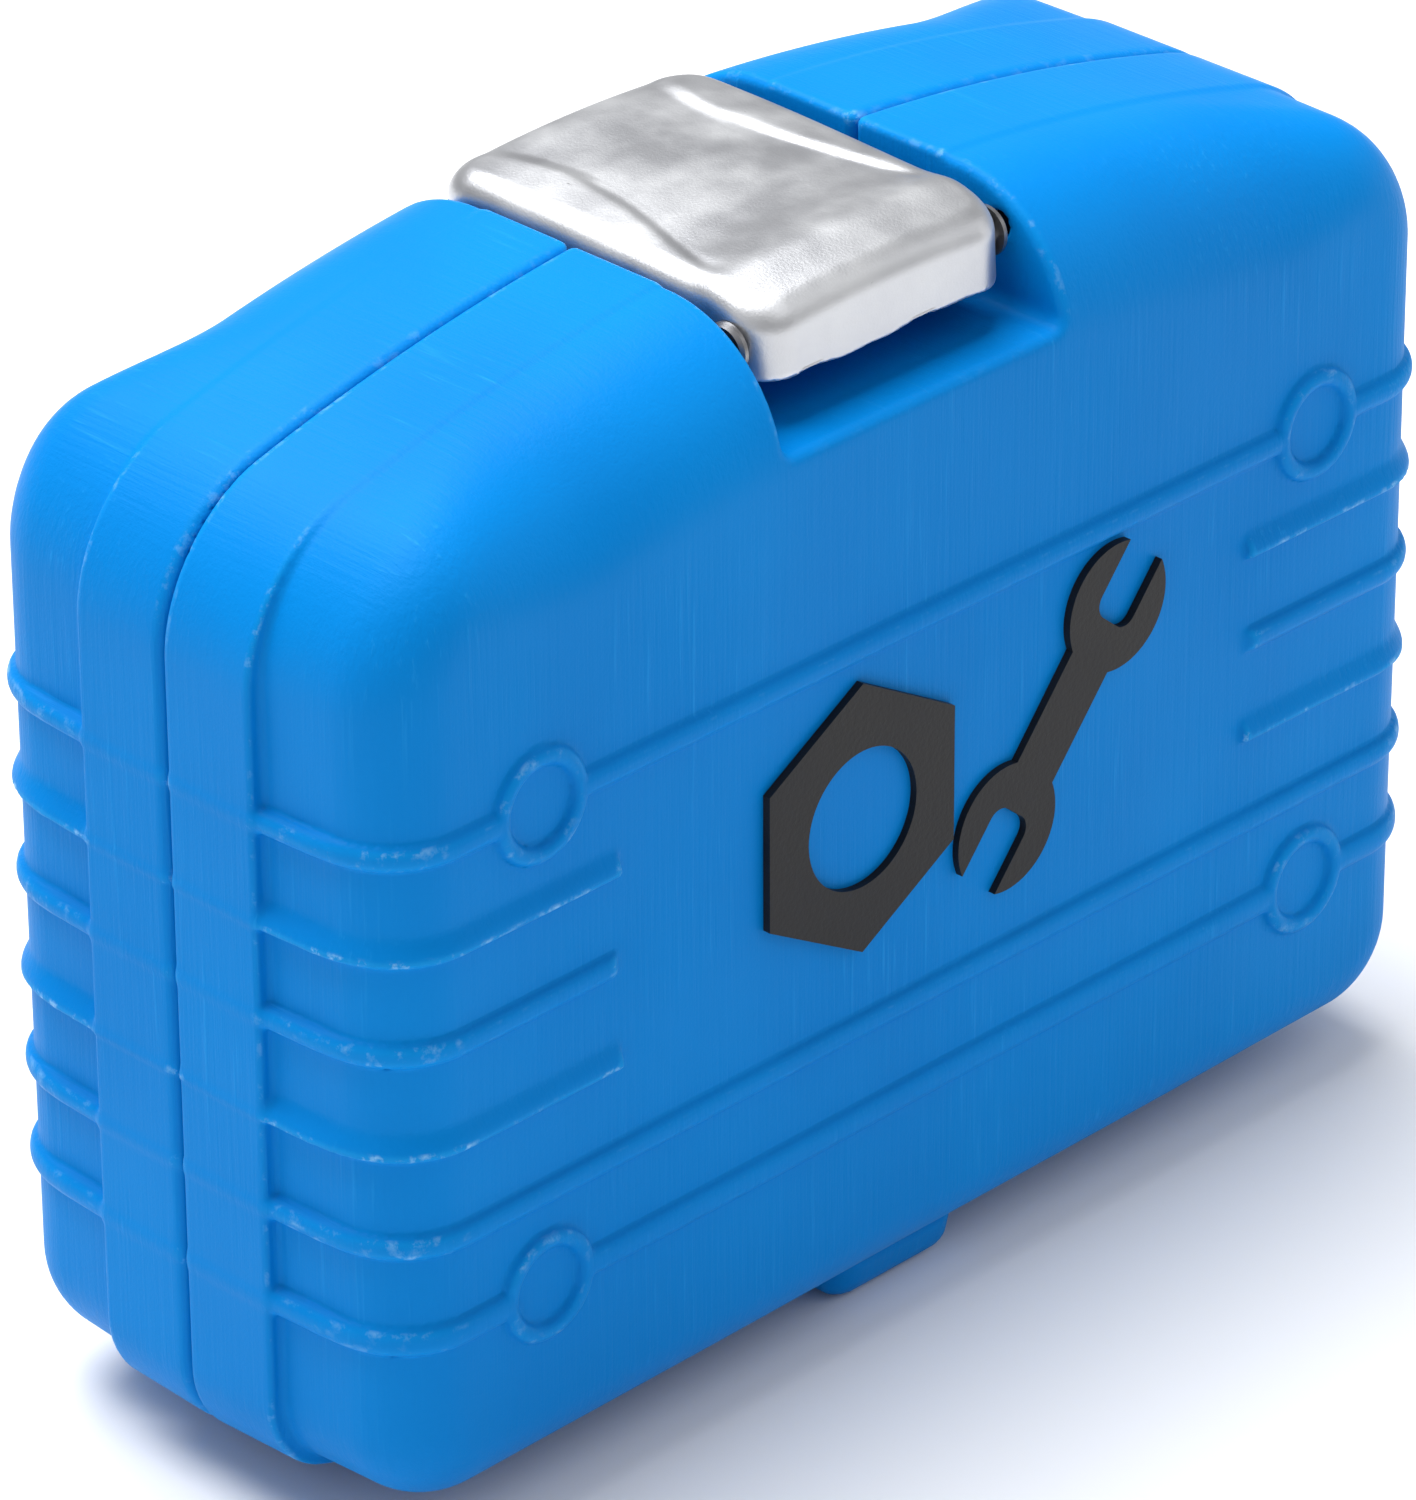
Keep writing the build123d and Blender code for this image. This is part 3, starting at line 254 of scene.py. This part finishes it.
# ---- surfaces from fields ------------------------------------------------------------------------
def grid_lines(low, high, coarse, fine_bands):
    """Grid positions from low to high: coarse steps, and finer ones within each (start, end, step) band."""
    places = [low]
    while places[-1] < high:
        here = places[-1]
        step = coarse
        for start, end, fine in fine_bands:
            if start - coarse <= here <= end:
                step = min(step, fine)
        places.append(here + step)
    return np.array(places)


def sample(field, xs, ys, zs):
    """The field on every grid point, worked out block by block."""
    values = np.empty((len(xs), len(ys), len(zs)))
    block = 24
    for i in range(0, len(xs), block):
        for k in range(0, len(zs), block):
            x = xs[i:i + block, None, None]
            z = zs[None, None, k:k + block]
            values[i:i + block, :, k:k + block] = field(x, ys[None, :, None], z)
    return values


def crossing_cells(values, xs, ys, zs):
    """One point in each cell that the surface passes through, and the cell's number in a lookup."""
    inside = values < 0
    corners = [(a, b, c) for a in (0, 1) for b in (0, 1) for c in (0, 1)]
    shape = tuple(n - 1 for n in values.shape)

    def corner(array, a, b, c):
        return array[a:a + shape[0], b:b + shape[1], c:c + shape[2]]

    count = np.zeros(shape, np.int8)
    for place in corners:
        count += corner(inside, *place)
    cells = np.argwhere((count > 0) & (count < 8))
    lookup = np.full(shape, -1, np.int64)
    lookup[tuple(cells.T)] = np.arange(len(cells))
    lines = (xs, ys, zs)
    total = np.zeros((len(cells), 3))
    hits = np.zeros(len(cells))
    for start in corners:
        for axis in range(3):
            if start[axis]:
                continue
            end = list(start)
            end[axis] = 1
            first = tuple((cells + start).T)
            last = tuple((cells + end).T)
            f0 = values[first]
            f1 = values[last]
            crossed = (f0 < 0) != (f1 < 0)
            t = np.where(crossed, f0 / np.where(crossed, f0 - f1, 1), 0)
            for dim in range(3):
                p0 = lines[dim][first[dim]]
                p1 = lines[dim][last[dim]]
                total[:, dim] += np.where(crossed, p0 + t * (p1 - p0), 0)
            hits += crossed
    return total / hits[:, None], lookup, inside


def quads_between(lookup, inside):
    """A quad round each grid edge that crosses the surface, facing outwards."""
    faces = []
    for axis in range(3):
        other = [d for d in range(3) if d != axis]
        lower = [slice(1, -1)] * 3
        upper = [slice(1, -1)] * 3
        lower[axis] = slice(0, -1)
        upper[axis] = slice(1, None)
        here = inside[tuple(lower)]
        there = inside[tuple(upper)]
        edges = np.argwhere(here != there)
        outward = here[tuple(edges.T)]
        edges = edges + 1
        edges[:, axis] -= 1
        ring = []
        for da, db in ((-1, -1), (0, -1), (0, 0), (-1, 0)):
            cell = edges.copy()
            cell[:, other[0]] += da
            cell[:, other[1]] += db
            ring.append(lookup[tuple(cell.T)])
        ring = np.stack(ring, axis=1)
        if axis == 1:
            outward = ~outward
        ring[~outward] = ring[~outward][:, ::-1]
        faces.append(ring)
    return np.concatenate(faces)


def gradient(field, points, reach=0.03):
    """The field's slope at each point."""
    slope = np.empty_like(points)
    for dim in range(3):
        step = np.zeros(3)
        step[dim] = reach
        ahead = field(*(points + step).T)
        behind = field(*(points - step).T)
        slope[:, dim] = (ahead - behind) / (2 * reach)
    return slope


def settle(field, points, rounds, most):
    """Pull each point onto the field's zero surface."""
    for _ in range(rounds):
        value = field(*points.T)
        slope = gradient(field, points)
        size = np.maximum((slope ** 2).sum(axis=1), 0.05)
        move = -(value / size)[:, None] * slope
        length = np.maximum(np.linalg.norm(move, axis=1), 1e-9)
        points = points + move * np.minimum(1, most / length)[:, None]
    return points


def edge_wear_and_highlight(field, points):
    """How convex the surface is at each point: 0 on flats and hollows, 1 on edges."""
    slope = gradient(field, points)
    normal = slope / np.maximum(np.linalg.norm(slope, axis=1), 1e-6)[:, None]
    reach = 0.9
    bend = np.zeros(len(points))
    for axis in (Vector((1, 0, 0)), Vector((0, 1, 0)), Vector((0, 0, 1))):
        side = np.cross(normal, np.array(axis))
        side /= np.maximum(np.linalg.norm(side, axis=1), 1e-3)[:, None]
        bend += field(*(points + side * reach).T) + field(*(points - side * reach).T)
    return np.clip(bend / (3 * reach * reach), 0, 2)


def field_mesh(name, field, xs, ys, zs, most):
    """A closed mesh of the field's zero surface, with its edge convexity stored on the points; it drives
    edge wear marks and the case's painted edge highlight.
    """
    values = sample(field, xs, ys, zs)
    points, lookup, inside = crossing_cells(values, xs, ys, zs)
    faces = quads_between(lookup, inside)
    points = settle(field, points, 3, most)
    mesh = bpy.data.meshes.new(name)
    mesh.vertices.add(len(points))
    mesh.vertices.foreach_set("co", (points * MM).ravel())
    mesh.loops.add(4 * len(faces))
    mesh.loops.foreach_set("vertex_index", faces.ravel())
    mesh.polygons.add(len(faces))
    mesh.polygons.foreach_set("loop_start", np.arange(0, 4 * len(faces), 4))
    mesh.polygons.foreach_set("use_smooth", np.ones(len(faces), bool))
    mesh.update(calc_edges=True)
    wear_and_highlight = mesh.attributes.new("wear_and_highlight", "FLOAT", "POINT")
    wear_and_highlight.data.foreach_set("value", edge_wear_and_highlight(field, points))
    mesh.validate()
    piece = bpy.data.objects.new(name, mesh)
    bpy.context.scene.collection.objects.link(piece)
    return piece


# Grid steps of the shells where nothing small happens, in millimetres.
COARSE = 1.25
COARSE_DEPTH = 1.1


def make_shell(name, side):
    """One blow-moulded half of the case."""
    ribs = [RIB_BASE + row * PITCH for row in range(RIB_COUNT)]
    rib_bands = [(height - 2.8, height + 2.8, 0.42) for height in ribs]
    ring_reach = RING_RADIUS + 0.5
    ring_bands = [(height - ring_reach, height + ring_reach, 0.6) for height in (ribs[0], ribs[-1])]
    end_bands = [(RECESS_FRONT_FLOOR - 1.5, APEX + 1, 0.6), (-0.6, 9, 0.6)]
    zs = grid_lines(-0.6, APEX + 2, COARSE, rib_bands + ring_bands + end_bands)
    side_bands = [
        (RING_X - ring_reach, RING_X + ring_reach, 0.6),
        (SHORT_RIB_END - 0.6, SHORT_RIB_END + 2.2, 0.5),
        (HALF_WIDTH - 4, HALF_WIDTH + 0.5, 0.45),
        (RECESS_RIGHT - 1.5, RECESS_RIGHT + 1.5, 0.45),
        (-RECESS_LEFT - 1.5, -RECESS_LEFT + 1.5, 0.45),
        (FRONT_LUG_HALF - 1.8, FRONT_LUG_HALF + 0.2, 0.5),
    ]
    mirrored = [(-end, -start, step) for start, end, step in side_bands]
    xs = grid_lines(-HALF_WIDTH - 1.2, HALF_WIDTH + 1.2, COARSE, side_bands + mirrored)
    depth_bands = [
        (-0.8, 2.6, 0.4),
        (FLANGE_DEPTH - 1.2, FLANGE_DEPTH + 1.8, 0.4),
        (HALF_DEPTH - 2.2, HALF_DEPTH + 1.8, 0.4),
    ]
    depths = grid_lines(-4.6, HALF_DEPTH + 2.5, COARSE_DEPTH, depth_bands)
    ys = depths if side > 0 else -depths[::-1]
    return field_mesh(name, shell_field(side), xs, ys, zs, 0.6)


front_case = make_shell("front_half", -1)
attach(front_case, "front_case")
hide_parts("front_shell")

back_case = make_shell("back_half", 1)
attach(back_case, "back_case")
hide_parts("back_shell")


# ---- trays ---------------------------------------------------------------------------------------
TRAY_CLEARANCE = 0.4                # between a tray and the inside of the skin


def tucked_tray(node, side):
    """A tray whose outer corners are drawn in to lie under the rounded skin."""
    source = frame["nodes"][node]
    mesh = source.data.copy()
    mesh.name = node + "_tucked"
    mesh.transform(source.matrix_world)
    points = np.empty(3 * len(mesh.vertices))
    mesh.vertices.foreach_get("co", points)
    points = points.reshape(-1, 3) / MM

    def inner_face(x, y, z):
        return body_field(x, side * y, z) + WALL + TRAY_CLEARANCE

    outside = inner_face(*points.T) > 0
    points[outside] = settle(inner_face, points[outside], 5, 1.0)
    mesh.vertices.foreach_set("co", (points * MM).ravel())
    mesh.update()
    piece = bpy.data.objects.new(node + "_tucked", mesh)
    bpy.context.scene.collection.objects.link(piece)
    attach(piece, "front_case" if side < 0 else "back_case")
    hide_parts(node)
    return piece


FRONT_TRAYS = ("tray_t_bar", "tray_deep_sockets", "tray_joint", "tray_bits")
BACK_TRAYS = ("tray_spinner", "tray_sockets", "tray_bars", "tray_ratchet")
trays = [tucked_tray(node, -1) for node in FRONT_TRAYS] + [tucked_tray(node, 1) for node in BACK_TRAYS]


# ---- latch ---------------------------------------------------------------------------------------
LATCH_SHEET = 1.2
LATCH_CORNER = 5.5                  # seen from above
LATCH_EDGE_RADIUS = 2.9
LATCH_HOLE = 1.8
LATCH_SKIRT_EDGE = latch_low[2]
LATCH_SIDE_EDGE = 128.9
LATCH_HOOK_EDGE = 126.8
EAR_REAR = -17.0
LATCH_HALF = (latch_high[0] - latch_low[0]) / 2
LATCH_MIDDLE = (latch_low[1] + latch_high[1]) / 2
LATCH_REACH = (latch_high[1] - latch_low[1]) / 2


def latch_top(x, y):
    """Height of the plate's upper face: a flat panel between two curved side ridges."""
    along = (y - latch_low[1]) / (latch_high[1] - latch_low[1])
    off = np.abs(x - LATCH_X)
    border = LATCH_HALF - 5.2 + 2.6 * np.cos(2 * math.pi * (along - 0.10) / 1.15)
    inner = 1 - ramp(off, border - 2.6, border)
    panel = inner * ramp(along, 0.22, 0.34) * (1 - 0.7 * ramp(along, 0.80, 0.97))
    groove = np.exp(-((off - border + 0.9) / 0.9) ** 2)
    groove = groove * ramp(along, 0.18, 0.30) * (1 - ramp(along, 0.62, 0.75))
    front_ridge = 0.5 * np.exp(-((along - 0.16) / 0.055) ** 2)
    rear_fall = 1.5 * ramp(along, 0.80, 1.04) ** 2
    front_fall = 1.5 * (1 - ramp(along, -0.05, 0.16))
    crown = 1.1 * (off / LATCH_HALF) ** 2 + 1.0 * (1 - ramp(along, 0.0, 0.75))
    return latch_high[2] - 0.35 - 0.55 * panel - 0.35 * groove + front_ridge - rear_fall - front_fall - crown


def latch_field(x, y, z):
    """The stamped latch: a thin sheet with its edges turned down."""
    lean = 0.04 * (z - latch_low[2])
    ends = np.abs(x - LATCH_X) - LATCH_HALF + 0.25 * lean
    faces = np.abs(y - LATCH_MIDDLE) - LATCH_REACH + lean
    plan = meet(ends, faces, LATCH_CORNER)
    outer = meet(plan, z - latch_top(x, y), LATCH_EDGE_RADIUS)
    sheet = np.abs(outer + LATCH_SHEET / 2) - LATCH_SHEET / 2
    rise = ramp(y, EAR_REAR, EAR_REAR + 3.5)
    wave = 0.3 + 0.22 * np.sin(x / 3.1 + 0.6) + 0.10 * np.sin(x / 1.3)
    edge = LATCH_SKIRT_EDGE + wave + (LATCH_SIDE_EDGE - LATCH_SKIRT_EDGE - 0.3) * rise
    rear = ramp(y, latch_high[1] - LATCH_SHEET - 0.45, latch_high[1] - LATCH_SHEET - 0.1)
    edge = edge + (LATCH_HOOK_EDGE - LATCH_SIDE_EDGE) * rear
    sheet = meet(sheet, edge - z, 0.25)
    hole = np.hypot(y - pivot[1], z - pivot[2]) - LATCH_HOLE
    return cut(sheet, hole, 0.15)


def make_latch():
    """The latch plate as a closed mesh."""
    xs = grid_lines(latch_low[0] - 0.8, latch_high[0] + 0.8, 0.42, [])
    ys = grid_lines(latch_low[1] - 0.8, latch_high[1] + 0.8, 0.42, [])
    zs = grid_lines(latch_low[2] - 0.8, latch_high[2] + 0.8, 0.36, [])
    return field_mesh("latch_sheet", latch_field, xs, ys, zs, 0.25)


latch = make_latch()
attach(latch, "latch")
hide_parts("latch_plate")


# ---- materials -----------------------------------------------------------------------------------
class Nodes:
    """A short way to write a node material."""

    def __init__(self, name):
        self.material = bpy.data.materials.new(name)
        self.material.use_nodes = True
        self.tree = self.material.node_tree
        self.shader = self.tree.nodes["Principled BSDF"]
        self.place = self.new("ShaderNodeTexCoord").outputs["Object"]

    def new(self, kind, **settings):
        node = self.tree.nodes.new(kind)
        for key, value in settings.items():
            setattr(node, key, value)
        return node

    def link(self, source, target):
        self.tree.links.new(source, target)

    def stretched(self, scale):
        """The object's place in metres, stretched by a scale on each axis."""
        node = self.new("ShaderNodeMapping")
        node.inputs["Scale"].default_value = scale
        self.link(self.place, node.inputs["Vector"])
        return node.outputs["Vector"]

    def noise(self, scale, detail=3.0, roughness=0.5):
        """Noise whose scale is features per metre on each axis."""
        node = self.new("ShaderNodeTexNoise")
        node.inputs["Scale"].default_value = 1.0
        node.inputs["Detail"].default_value = detail
        node.inputs["Roughness"].default_value = roughness
        self.link(self.stretched(scale), node.inputs["Vector"])
        return node.outputs["Fac"]

    def band(self, value, low, high, out_low=0.0, out_high=1.0):
        """Map a range of a value onto another range."""
        node = self.new("ShaderNodeMapRange")
        node.inputs["From Min"].default_value = low
        node.inputs["From Max"].default_value = high
        node.inputs["To Min"].default_value = out_low
        node.inputs["To Max"].default_value = out_high
        self.link(value, node.inputs["Value"])
        return node.outputs["Result"]

    def math(self, operation, a, b):
        node = self.new("ShaderNodeMath", operation=operation)
        for socket, value in zip(node.inputs, (a, b)):
            if isinstance(value, (int, float)):
                socket.default_value = value
            else:
                self.link(value, socket)
        return node.outputs["Value"]

    def mix(self, factor, a, b):
        """Mix two colours."""
        node = self.new("ShaderNodeMix", data_type="RGBA")
        self.link(factor, node.inputs["Factor"])
        for socket, value in ((node.inputs["A"], a), (node.inputs["B"], b)):
            if isinstance(value, tuple):
                socket.default_value = (*value, 1.0)
            else:
                self.link(value, socket)
        return node.outputs["Result"]

    def bump(self, height, strength, distance):
        node = self.new("ShaderNodeBump")
        node.inputs["Strength"].default_value = strength
        node.inputs["Distance"].default_value = distance
        self.link(height, node.inputs["Height"])
        self.link(node.outputs["Normal"], self.shader.inputs["Normal"])

    def attribute(self, name):
        return self.new("ShaderNodeAttribute", attribute_name=name).outputs["Fac"]

    def upward(self):
        """How far the surface faces up or down, from 0 to 1."""
        split = self.new("ShaderNodeSeparateXYZ")
        self.link(self.new("ShaderNodeTexCoord").outputs["Normal"], split.inputs["Vector"])
        return self.band(self.math("ABSOLUTE", split.outputs["Z"], 0.0), 0.45, 0.8)


def case_plastic():
    """Satin blue polyethylene with drag marks, fine grain, whitened wear nicks on the edges and a painted
    highlight along every convex edge.
    """
    m = Nodes("case_plastic")
    drag_up = m.noise((1500, 1500, 45), 4.0, 0.6)
    drag_back = m.noise((1400, 60, 1400), 4.0, 0.6)
    upward = m.upward()
    streaks = m.new("ShaderNodeMix")
    m.link(upward, streaks.inputs["Factor"])
    m.link(drag_up, streaks.inputs["A"])
    m.link(drag_back, streaks.inputs["B"])
    streak = streaks.outputs["Result"]
    patch = m.noise((38, 38, 38), 2.0)
    grain = m.noise((2600, 2600, 2600), 2.0)
    strong = m.band(patch, 0.40, 0.66)
    base = m.mix(m.band(m.noise((22, 22, 16), 3.0), 0.35, 0.7), (0.0, 0.187, 0.57), (0.0, 0.217, 0.63))
    pale = m.math("MULTIPLY", m.band(streak, 0.60, 0.74), strong)
    base = m.mix(m.math("MULTIPLY", pale, 0.35), base, (0.03, 0.36, 0.80))
    # convex edges: this mask drives a painted edge highlight and the whitened wear nicks
    wear_and_highlight = m.band(m.attribute("wear_and_highlight"), 0.22, 0.75)
    nicks = m.band(m.noise((420, 420, 420), 4.0, 0.7), 0.53, 0.66)
    worn = m.math("MULTIPLY", wear_and_highlight, nicks)
    # painted highlight: every convex edge is lightened evenly towards a brighter blue, standing in for light
    # caught on the edges
    base = m.mix(m.math("MULTIPLY", wear_and_highlight, 0.30), base, (0.01, 0.34, 0.74))
    base = m.mix(m.math("MULTIPLY", worn, 0.45), base, (0.42, 0.70, 0.93))
    m.link(base, m.shader.inputs["Base Color"])
    m.link(m.band(patch, 0.3, 0.7, 0.40, 0.52), m.shader.inputs["Roughness"])
    m.shader.inputs["Specular IOR Level"].default_value = 0.06
    marks = m.math("MULTIPLY", streak, m.band(patch, 0.35, 0.6, 0.35, 1.0))
    height = m.math("ADD", marks, m.math("MULTIPLY", grain, 0.25))
    m.bump(height, 0.7, 0.00018)
    return m.material


def latch_metal():
    """Blasted zinc-grey aluminium with dark pits and rubbed edges."""
    m = Nodes("latch_metal")
    grain = m.noise((3000, 3000, 3000), 3.0, 0.6)
    cloud = m.noise((110, 110, 110), 3.0)
    marks = m.noise((900, 260, 900), 5.0, 0.75)
    base = m.mix(m.band(cloud, 0.35, 0.68), (0.54, 0.55, 0.58), (0.64, 0.65, 0.67))
    pits = m.math("MULTIPLY", m.band(marks, 0.66, 0.72), m.band(cloud, 0.52, 0.62))
    base = m.mix(pits, base, (0.22, 0.22, 0.23))
    rubbed = m.band(m.attribute("wear_and_highlight"), 0.15, 0.7)
    base = m.mix(m.math("MULTIPLY", rubbed, 0.5), base, (0.86, 0.86, 0.88))
    m.link(base, m.shader.inputs["Base Color"])
    m.shader.inputs["Metallic"].default_value = 1.0
    m.link(m.band(cloud, 0.3, 0.7, 0.36, 0.48), m.shader.inputs["Roughness"])
    m.bump(m.math("ADD", grain, m.math("MULTIPLY", cloud, 0.8)), 0.35, 0.00008)
    return m.material


def metal(name, dark, light, rough_low, rough_high, brush, strength):
    """Plated or turned steel with fine directional marks."""
    m = Nodes(name)
    lines = m.noise(brush, 4.0, 0.6)
    cloud = m.noise((160, 160, 160), 2.0)
    base = m.mix(m.band(cloud, 0.3, 0.7), dark, light)
    m.link(base, m.shader.inputs["Base Color"])
    m.shader.inputs["Metallic"].default_value = 1.0
    both = m.math("MULTIPLY", m.math("ADD", lines, cloud), 0.5)
    m.link(m.band(both, 0.35, 0.65, rough_low, rough_high), m.shader.inputs["Roughness"])
    m.bump(lines, strength, 0.00003)
    return m.material


def moulded(name, dark, light, rough_low, rough_high, grain_scale, strength):
    """Rubber, paint or hard plastic with a fine moulded grain."""
    m = Nodes(name)
    grain = m.noise((grain_scale,) * 3, 3.0, 0.6)
    cloud = m.noise((90, 90, 90), 3.0)
    m.link(m.mix(m.band(cloud, 0.3, 0.7), dark, light), m.shader.inputs["Base Color"])
    m.link(m.band(cloud, 0.3, 0.7, rough_low, rough_high), m.shader.inputs["Roughness"])
    m.shader.inputs["Specular IOR Level"].default_value = 0.2
    m.bump(grain, strength, 0.0001)
    return m.material


# name: dark and light colour, lowest and highest roughness, marks per metre, bump strength
METALS = {
    "chrome_steel": ((0.60, 0.61, 0.63), (0.72, 0.73, 0.75), 0.14, 0.26, (700, 700, 700), 0.12),
    "plain_steel": ((0.20, 0.20, 0.21), (0.32, 0.32, 0.33), 0.28, 0.42, (900, 900, 900), 0.2),
    "bit_steel": ((0.22, 0.22, 0.23), (0.30, 0.30, 0.31), 0.38, 0.50, (2200, 2200, 2200), 0.4),
}
MOULDED = {
    "mark_paint": ((0.006, 0.006, 0.007), (0.014, 0.014, 0.016), 0.34, 0.50, 1500, 0.5),
    "tray_plastic": ((0.012, 0.012, 0.013), (0.022, 0.022, 0.024), 0.50, 0.64, 1300, 0.5),
    "grip_rubber": ((0.010, 0.010, 0.011), (0.020, 0.020, 0.022), 0.52, 0.66, 1800, 0.6),
    "black_part": ((0.008, 0.008, 0.008), (0.016, 0.016, 0.016), 0.28, 0.40, 2400, 0.3),
}
MATERIALS = {"case_plastic": case_plastic(), "latch_metal": latch_metal()}
for name, values in METALS.items():
    MATERIALS[name] = metal(name, *values)
for name, values in MOULDED.items():
    MATERIALS[name] = moulded(name, *values)


def paint(thing, slot):
    """Give a piece the material of this slot."""
    thing.data.materials.clear()
    thing.data.materials.append(MATERIALS[slot])


slots = {row["node"]: row["material_slot"] for row in frame["record"]["subparts"]}
for node, thing in frame["nodes"].items():
    paint(thing, slots[node])
for piece in (front_case, back_case):
    paint(piece, "case_plastic")
for piece in trays:
    paint(piece, "tray_plastic")
paint(latch, "latch_metal")


# ---- floor, lights and camera --------------------------------------------------------------------
def plane_mesh(name, size):
    """A flat square of this size at the origin."""
    half = size / 2
    mesh = bpy.data.meshes.new(name)
    corners = [(-half, -half, 0), (half, -half, 0), (half, half, 0), (-half, half, 0)]
    mesh.from_pydata(corners, [], [(0, 1, 2, 3)])
    thing = bpy.data.objects.new(name, mesh)
    bpy.context.scene.collection.objects.link(thing)
    return thing


floor = plane_mesh("floor", 12.0)
floor_paint = Nodes("floor_paint")
floor_tone = floor_paint.mix(
    floor_paint.band(floor_paint.noise((3, 3, 3)), 0.3, 0.7), (0.86, 0.86, 0.86), (0.90, 0.90, 0.90))
floor_paint.link(floor_tone, floor_paint.shader.inputs["Base Color"])
floor_paint.shader.inputs["Roughness"].default_value = 0.9
floor.data.materials.append(floor_paint.material)


MIDDLE = Vector((0.0, 0.0, 0.066))


def area_light(name, place, size, power):
    """A soft square white light that looks at the middle of the case."""
    lamp = bpy.data.lights.new(name, "AREA")
    lamp.size = size
    lamp.energy = power
    thing = bpy.data.objects.new(name, lamp)
    thing.location = place
    thing.rotation_euler = (MIDDLE - Vector(place)).to_track_quat("-Z", "Y").to_euler()
    bpy.context.scene.collection.objects.link(thing)


area_light("key", (0.35, -0.9, 1.3), 1.1, 3.5)
area_light("left", (-1.4, -0.3, 0.7), 1.2, 1.2)
area_light("top", (-0.1, 0.5, 1.5), 1.3, 42)
area_light("right", (1.3, -0.7, 0.5), 0.9, 2)

world = bpy.data.worlds.new("studio")
world.use_nodes = True
world.node_tree.nodes["Background"].inputs["Color"].default_value = (1, 1, 1, 1)
world.node_tree.nodes["Background"].inputs["Strength"].default_value = 0.40
bpy.context.scene.world = world
bpy.context.scene.view_settings.view_transform = "Standard"

CAMERA_AZIMUTH = math.radians(-45.224)
CAMERA_ELEVATION = math.radians(28.958)
CAMERA_ROLL = math.radians(-0.329)
CAMERA_DISTANCE = 1.0158
CAMERA_TARGET = Vector((-0.00391, 0.00015, 0.06118))
CAMERA_LENS = 214.3


def make_camera():
    """The camera: a long lens that looks down on the case's front left corner."""
    away = Vector((
        math.sin(CAMERA_AZIMUTH) * math.cos(CAMERA_ELEVATION),
        -math.cos(CAMERA_AZIMUTH) * math.cos(CAMERA_ELEVATION),
        math.sin(CAMERA_ELEVATION),
    ))
    lens = bpy.data.cameras.new("camera")
    lens.lens = CAMERA_LENS
    lens.sensor_width = 36.0
    lens.sensor_fit = "AUTO"
    thing = bpy.data.objects.new("camera", lens)
    turn = (-away).to_track_quat("-Z", "Y").to_matrix() @ Matrix.Rotation(CAMERA_ROLL, 3, "Z")
    thing.matrix_world = Matrix.Translation(CAMERA_TARGET + away * CAMERA_DISTANCE) @ turn.to_4x4()
    bpy.context.scene.collection.objects.link(thing)
    bpy.context.scene.camera = thing


make_camera()
